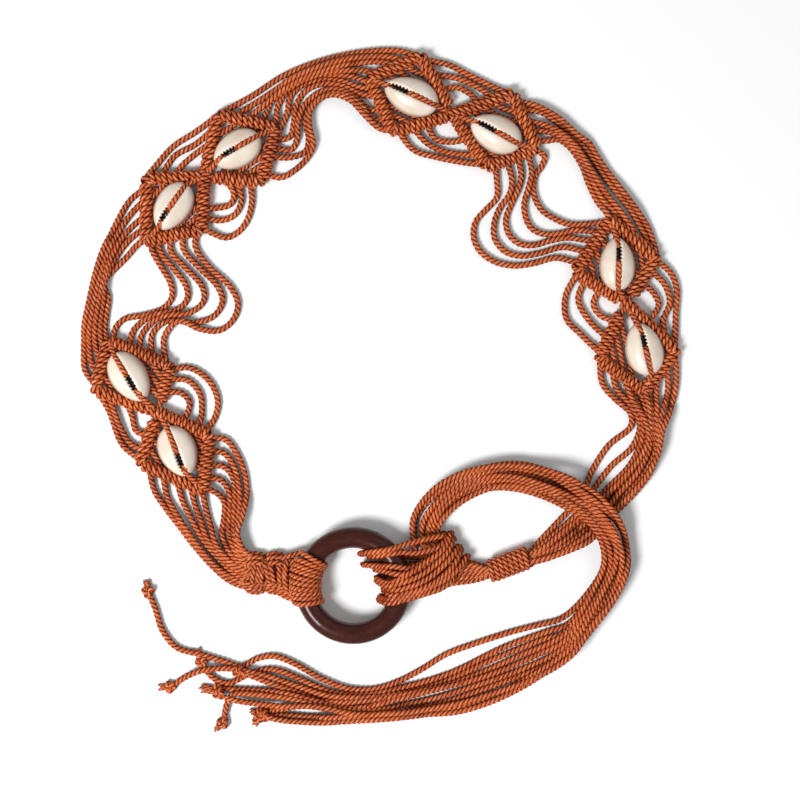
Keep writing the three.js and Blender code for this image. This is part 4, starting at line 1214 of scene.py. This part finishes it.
def cowrie(x, y, heading, length, width, low, high):
    """Rows along the shell: with p from 0 to pi, the place is minus half the length times
    cos p, the half-width is half the width times sin p to the power 1.08 with a little more
    at the far end, and the height is the full one times sin p to the power 0.7. The slit is
    widest between the shares low and high, where the cord is down in it."""
    p = np.linspace(0.035, np.pi - 0.035, SHELL_ROWS)
    place = -np.cos(p) * length / 2
    half = np.sin(p) ** 1.08 * (1 - 0.12 * np.cos(p)) * width / 2
    top = SHELL_HEIGHT * np.sin(p) ** 0.7
    share = place / length + 0.5
    tooth = np.clip(np.cos(share * TEETH * 2 * np.pi) * 1.7, -1, 1)
    gape = 0.76 * np.sin(p) ** 0.3 + 0.3 * open_share(share, low, high)
    edges = [np.minimum(edge, half * 0.6)
             for edge in (gape + 0.3 * tooth, gape * 0.9 - 0.18 * tooth)]
    across, rise, dark = shell_section(half, top, edges, tooth)
    across = across + 0.5 * np.sin(p * 2)[:, None] * (1 - (across / half[:, None]) ** 2)
    along = np.broadcast_to(place[:, None], across.shape)
    cos, sin = np.cos(np.radians(heading)), np.sin(np.radians(heading))
    rings = np.stack([x + along * cos - across * sin, y + along * sin + across * cos,
                      SHELL_Z + SHELL_HEIGHT * UNDERSIDE + rise], axis=-1) * MM + HOME
    return {"rings": rings, "crown": dark, "length": (place - place[0]) * MM}


def polished_shell():
    """Cream that changes slowly over the shell, a mouth painted near black as shade, and a
    clear gloss.
    """
    material, tree, shader = new_material("polished_shell", 0.28)
    warm = use_group(tree, CLOUDS, Scale=140.0, Detail=3.0)["Value"]
    cream = blend_colours(tree, warm, (0.67, 0.55, 0.43), (0.75, 0.67, 0.59))
    mask = new_node(tree, "ShaderNodeAttribute", attribute_name="crown").outputs["Fac"]
    pits = use_group(tree, CLOUDS, Scale=900.0, Detail=2.0)["Value"]
    # Painted shade: where the mask is up, in the slit, the cream goes to near black
    fill(tree, shader, {"Base Color": blend_colours(tree, mask, cream, (0.018, 0.007, 0.005)),
                        "Coat Weight": 0.4, "Coat Roughness": 0.15,
                        "Subsurface Weight": 0.12,
                        "Subsurface Radius": (0.004, 0.003, 0.002),
                        "Normal": bump(tree, pits, 0.06, 0.1 * MM)})
    return material


SHELL_LOOK = polished_shell()
for number, shell in enumerate(SHELLS, start=1):
    add_piece(f"cowrie_shell_{number}", [cowrie(*shell)], f"cowrie_{number}",
              look=SHELL_LOOK, slot="shell")

# %% [markdown]
# ## Cords over the shells
# From corner to corner of each diamond one cord lies on the shell, in its slit. It rides on
# the lips for part of the way and is drawn down between them for the rest, which leaves the
# slit open beside it, painted dark as shade.

# %% Shell cords


def shell_cord(begin, finish, shell):
    """From one corner, up over the shell's end, along its slit and down to the next corner.
    The height falls by a smooth step between the two shares where the cord is down."""
    x, y, heading, length, _, low, high = shell
    axis = np.array([np.cos(np.radians(heading)), np.sin(np.radians(heading)), 0])
    share = np.linspace(0.05, 0.95, 18)
    top = SHELL_Z + 1.6 + 5.5 * np.sin(share * np.pi) ** 0.5
    points = spot(x, y, 0) + axis * ((share - 0.5) * length * MM)[:, None]
    points[:, 2] = np.maximum(top - 5.6 * open_share(share, low, high), 2.6) * MM
    return smooth_line(np.vstack([spot(*begin, 2.8), points, spot(*finish, 2.8)]))


for number, corners in enumerate(CORNERS):
    start, _, _, cross, _, _, end = np.reshape(corners, (-1, 2))
    pair = [shell_cord(start, cross, SHELLS[number * 2]),
            shell_cord(cross, end, SHELLS[number * 2 + 1])]
    add_piece(f"shell_cords_{number + 1}", ropes(pair))
